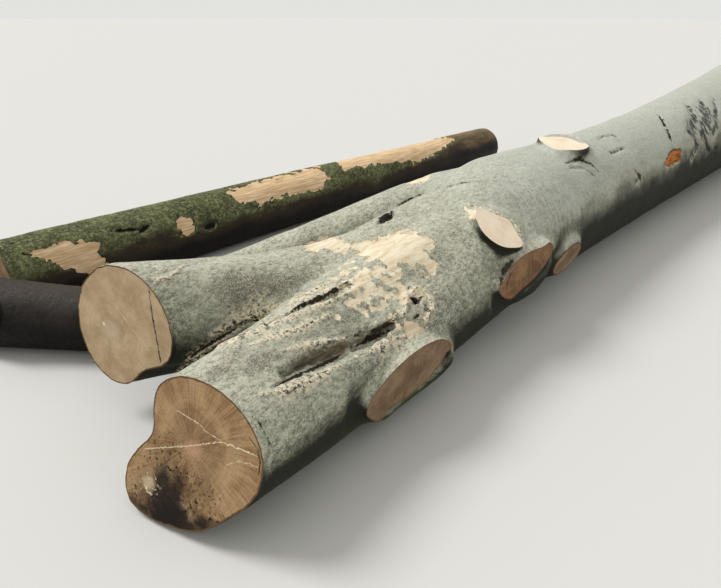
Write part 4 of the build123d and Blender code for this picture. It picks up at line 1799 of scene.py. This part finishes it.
def mossy_log() -> Log:
    """The mossy log behind the trunk."""
    return Log(
        node="mossy_log", slot="mossy_bark", bark=MossyBark(), voxel=0.018, swell=0.014, grain=0.005,
        faces_kept=90000,
        cuts=(Cut((1.34, 1.12, 0.2), MOSSY_END), Cut((-3.76, 1.07, 0.2), MOSSY_END)),
        carvings=(
            Carving(trail(110, 231, 140, 229), 0.02, 0.012, ((Mark.CRACK, 0.7),)),
            Carving(trail(62, 222, 80, 228), 0.014, 0.01, ((Mark.CRACK, 0.8),)),
            Carving(trail(138, 234, 150, 224), 0.016, 0.012, ((Mark.CRACK, 0.9),)),
            Carving(trail(8, 244, 18, 242), 0.012, 0.008, ((Mark.CRACK, 0.9),)),
            Carving(trail(205, 228, 216, 224), 0.02, 0.012, ((Mark.CRACK, 1.0),)),
            Carving(trail(60, 208, 70, 206), 0.01, 0.008, ((Mark.CRACK, 0.9),)),
        ),
        patches=(
            Patch(
                trail(25, 252, 60, 244, 95, 240, 104, 262, 112, 268, 90, 274, 62, 266, 40, 260),
                ragged=0.03, sunk=0.008,
            ),
            Patch(trail(176, 214, 192, 218, 195, 232, 184, 238, 178, 228), ragged=0.02, sunk=0.008),
            Patch(
                trail(226, 192, 270, 178, 318, 166, 330, 178, 318, 190, 290, 194, 262, 204, 240, 203),
                ragged=0.04, sunk=0.008,
            ),
            Patch(
                trail(330, 158, 370, 144, 430, 137, 455, 139, 440, 150, 420, 162, 380, 164, 345, 170),
                ragged=0.04, sunk=0.008,
            ),
        ),
    )


def dark_log() -> Log:
    """The short dark log by the far stem."""
    return Log(
        node="dark_log", slot="dark_bark", bark=DarkBark(), voxel=0.012, swell=0.01, grain=0.005,
        faces_kept=60000,
        cuts=(Cut((-3.98, 0.83, 0.19), FELLED_END, lip=0.015), Cut((-3.26, -0.10, 0.15), DARK_TOP_END)),
    )


@dataclass(frozen=True)
class Studio:
    """A plain pale floor under an even sky and a broad soft lamp."""

    floor_size: float = 600.0
    floor_tone: Colour = tone(203, 202, 198)
    floor_roughness: float = 0.9
    sky_tone: Colour = tone(232, 232, 229)
    sky_strength: float = 0.95
    lamp_aim: Point = (0.28, -0.58, -0.77)
    lamp_power: float = 2.3
    lamp_spread: float = 24.0

    def build(self) -> None:
        """Adds the floor, the sky and the lamp."""
        quiet()
        bpy.ops.mesh.primitive_plane_add(size=self.floor_size, location=(0.0, 0.0, 0.0))
        floor = bpy.context.object
        floor.name = "floor"
        coat = Coat("floor")
        coat.colour = self.floor_tone
        floor.data.materials.append(coat.finish(self.floor_roughness))
        world = bpy.data.worlds.new("sky")
        world.use_nodes = True
        backdrop = world.node_tree.nodes["Background"]
        backdrop.inputs["Color"].default_value = self.sky_tone
        backdrop.inputs["Strength"].default_value = self.sky_strength
        bpy.context.scene.world = world
        data = bpy.data.lights.new("lamp", "SUN")
        data.energy = self.lamp_power
        data.angle = math.radians(self.lamp_spread)
        lamp = bpy.data.objects.new("lamp", data)
        bpy.context.collection.objects.link(lamp)
        lamp.rotation_euler = Vector(self.lamp_aim).to_track_quat("-Z", "Y").to_euler()
        bpy.context.scene.view_settings.view_transform = "Standard"


def main() -> None:
    """Builds the studio and the logs, and reports each piece."""
    logging.basicConfig(level=logging.INFO, format="%(message)s")
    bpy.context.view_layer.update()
    effects = Effects()
    Studio().build()
    VIEW.camera()
    for each in (forked_trunk(), mossy_log(), dark_log()):
        piece = each.build(effects)
        triangles = sum(len(polygon.vertices) - 2 for polygon in piece.data.polygons)
        log.info("%s: %d points, %d triangles", piece.name, len(piece.data.vertices), triangles)


if __name__ == "__main__":
    main()
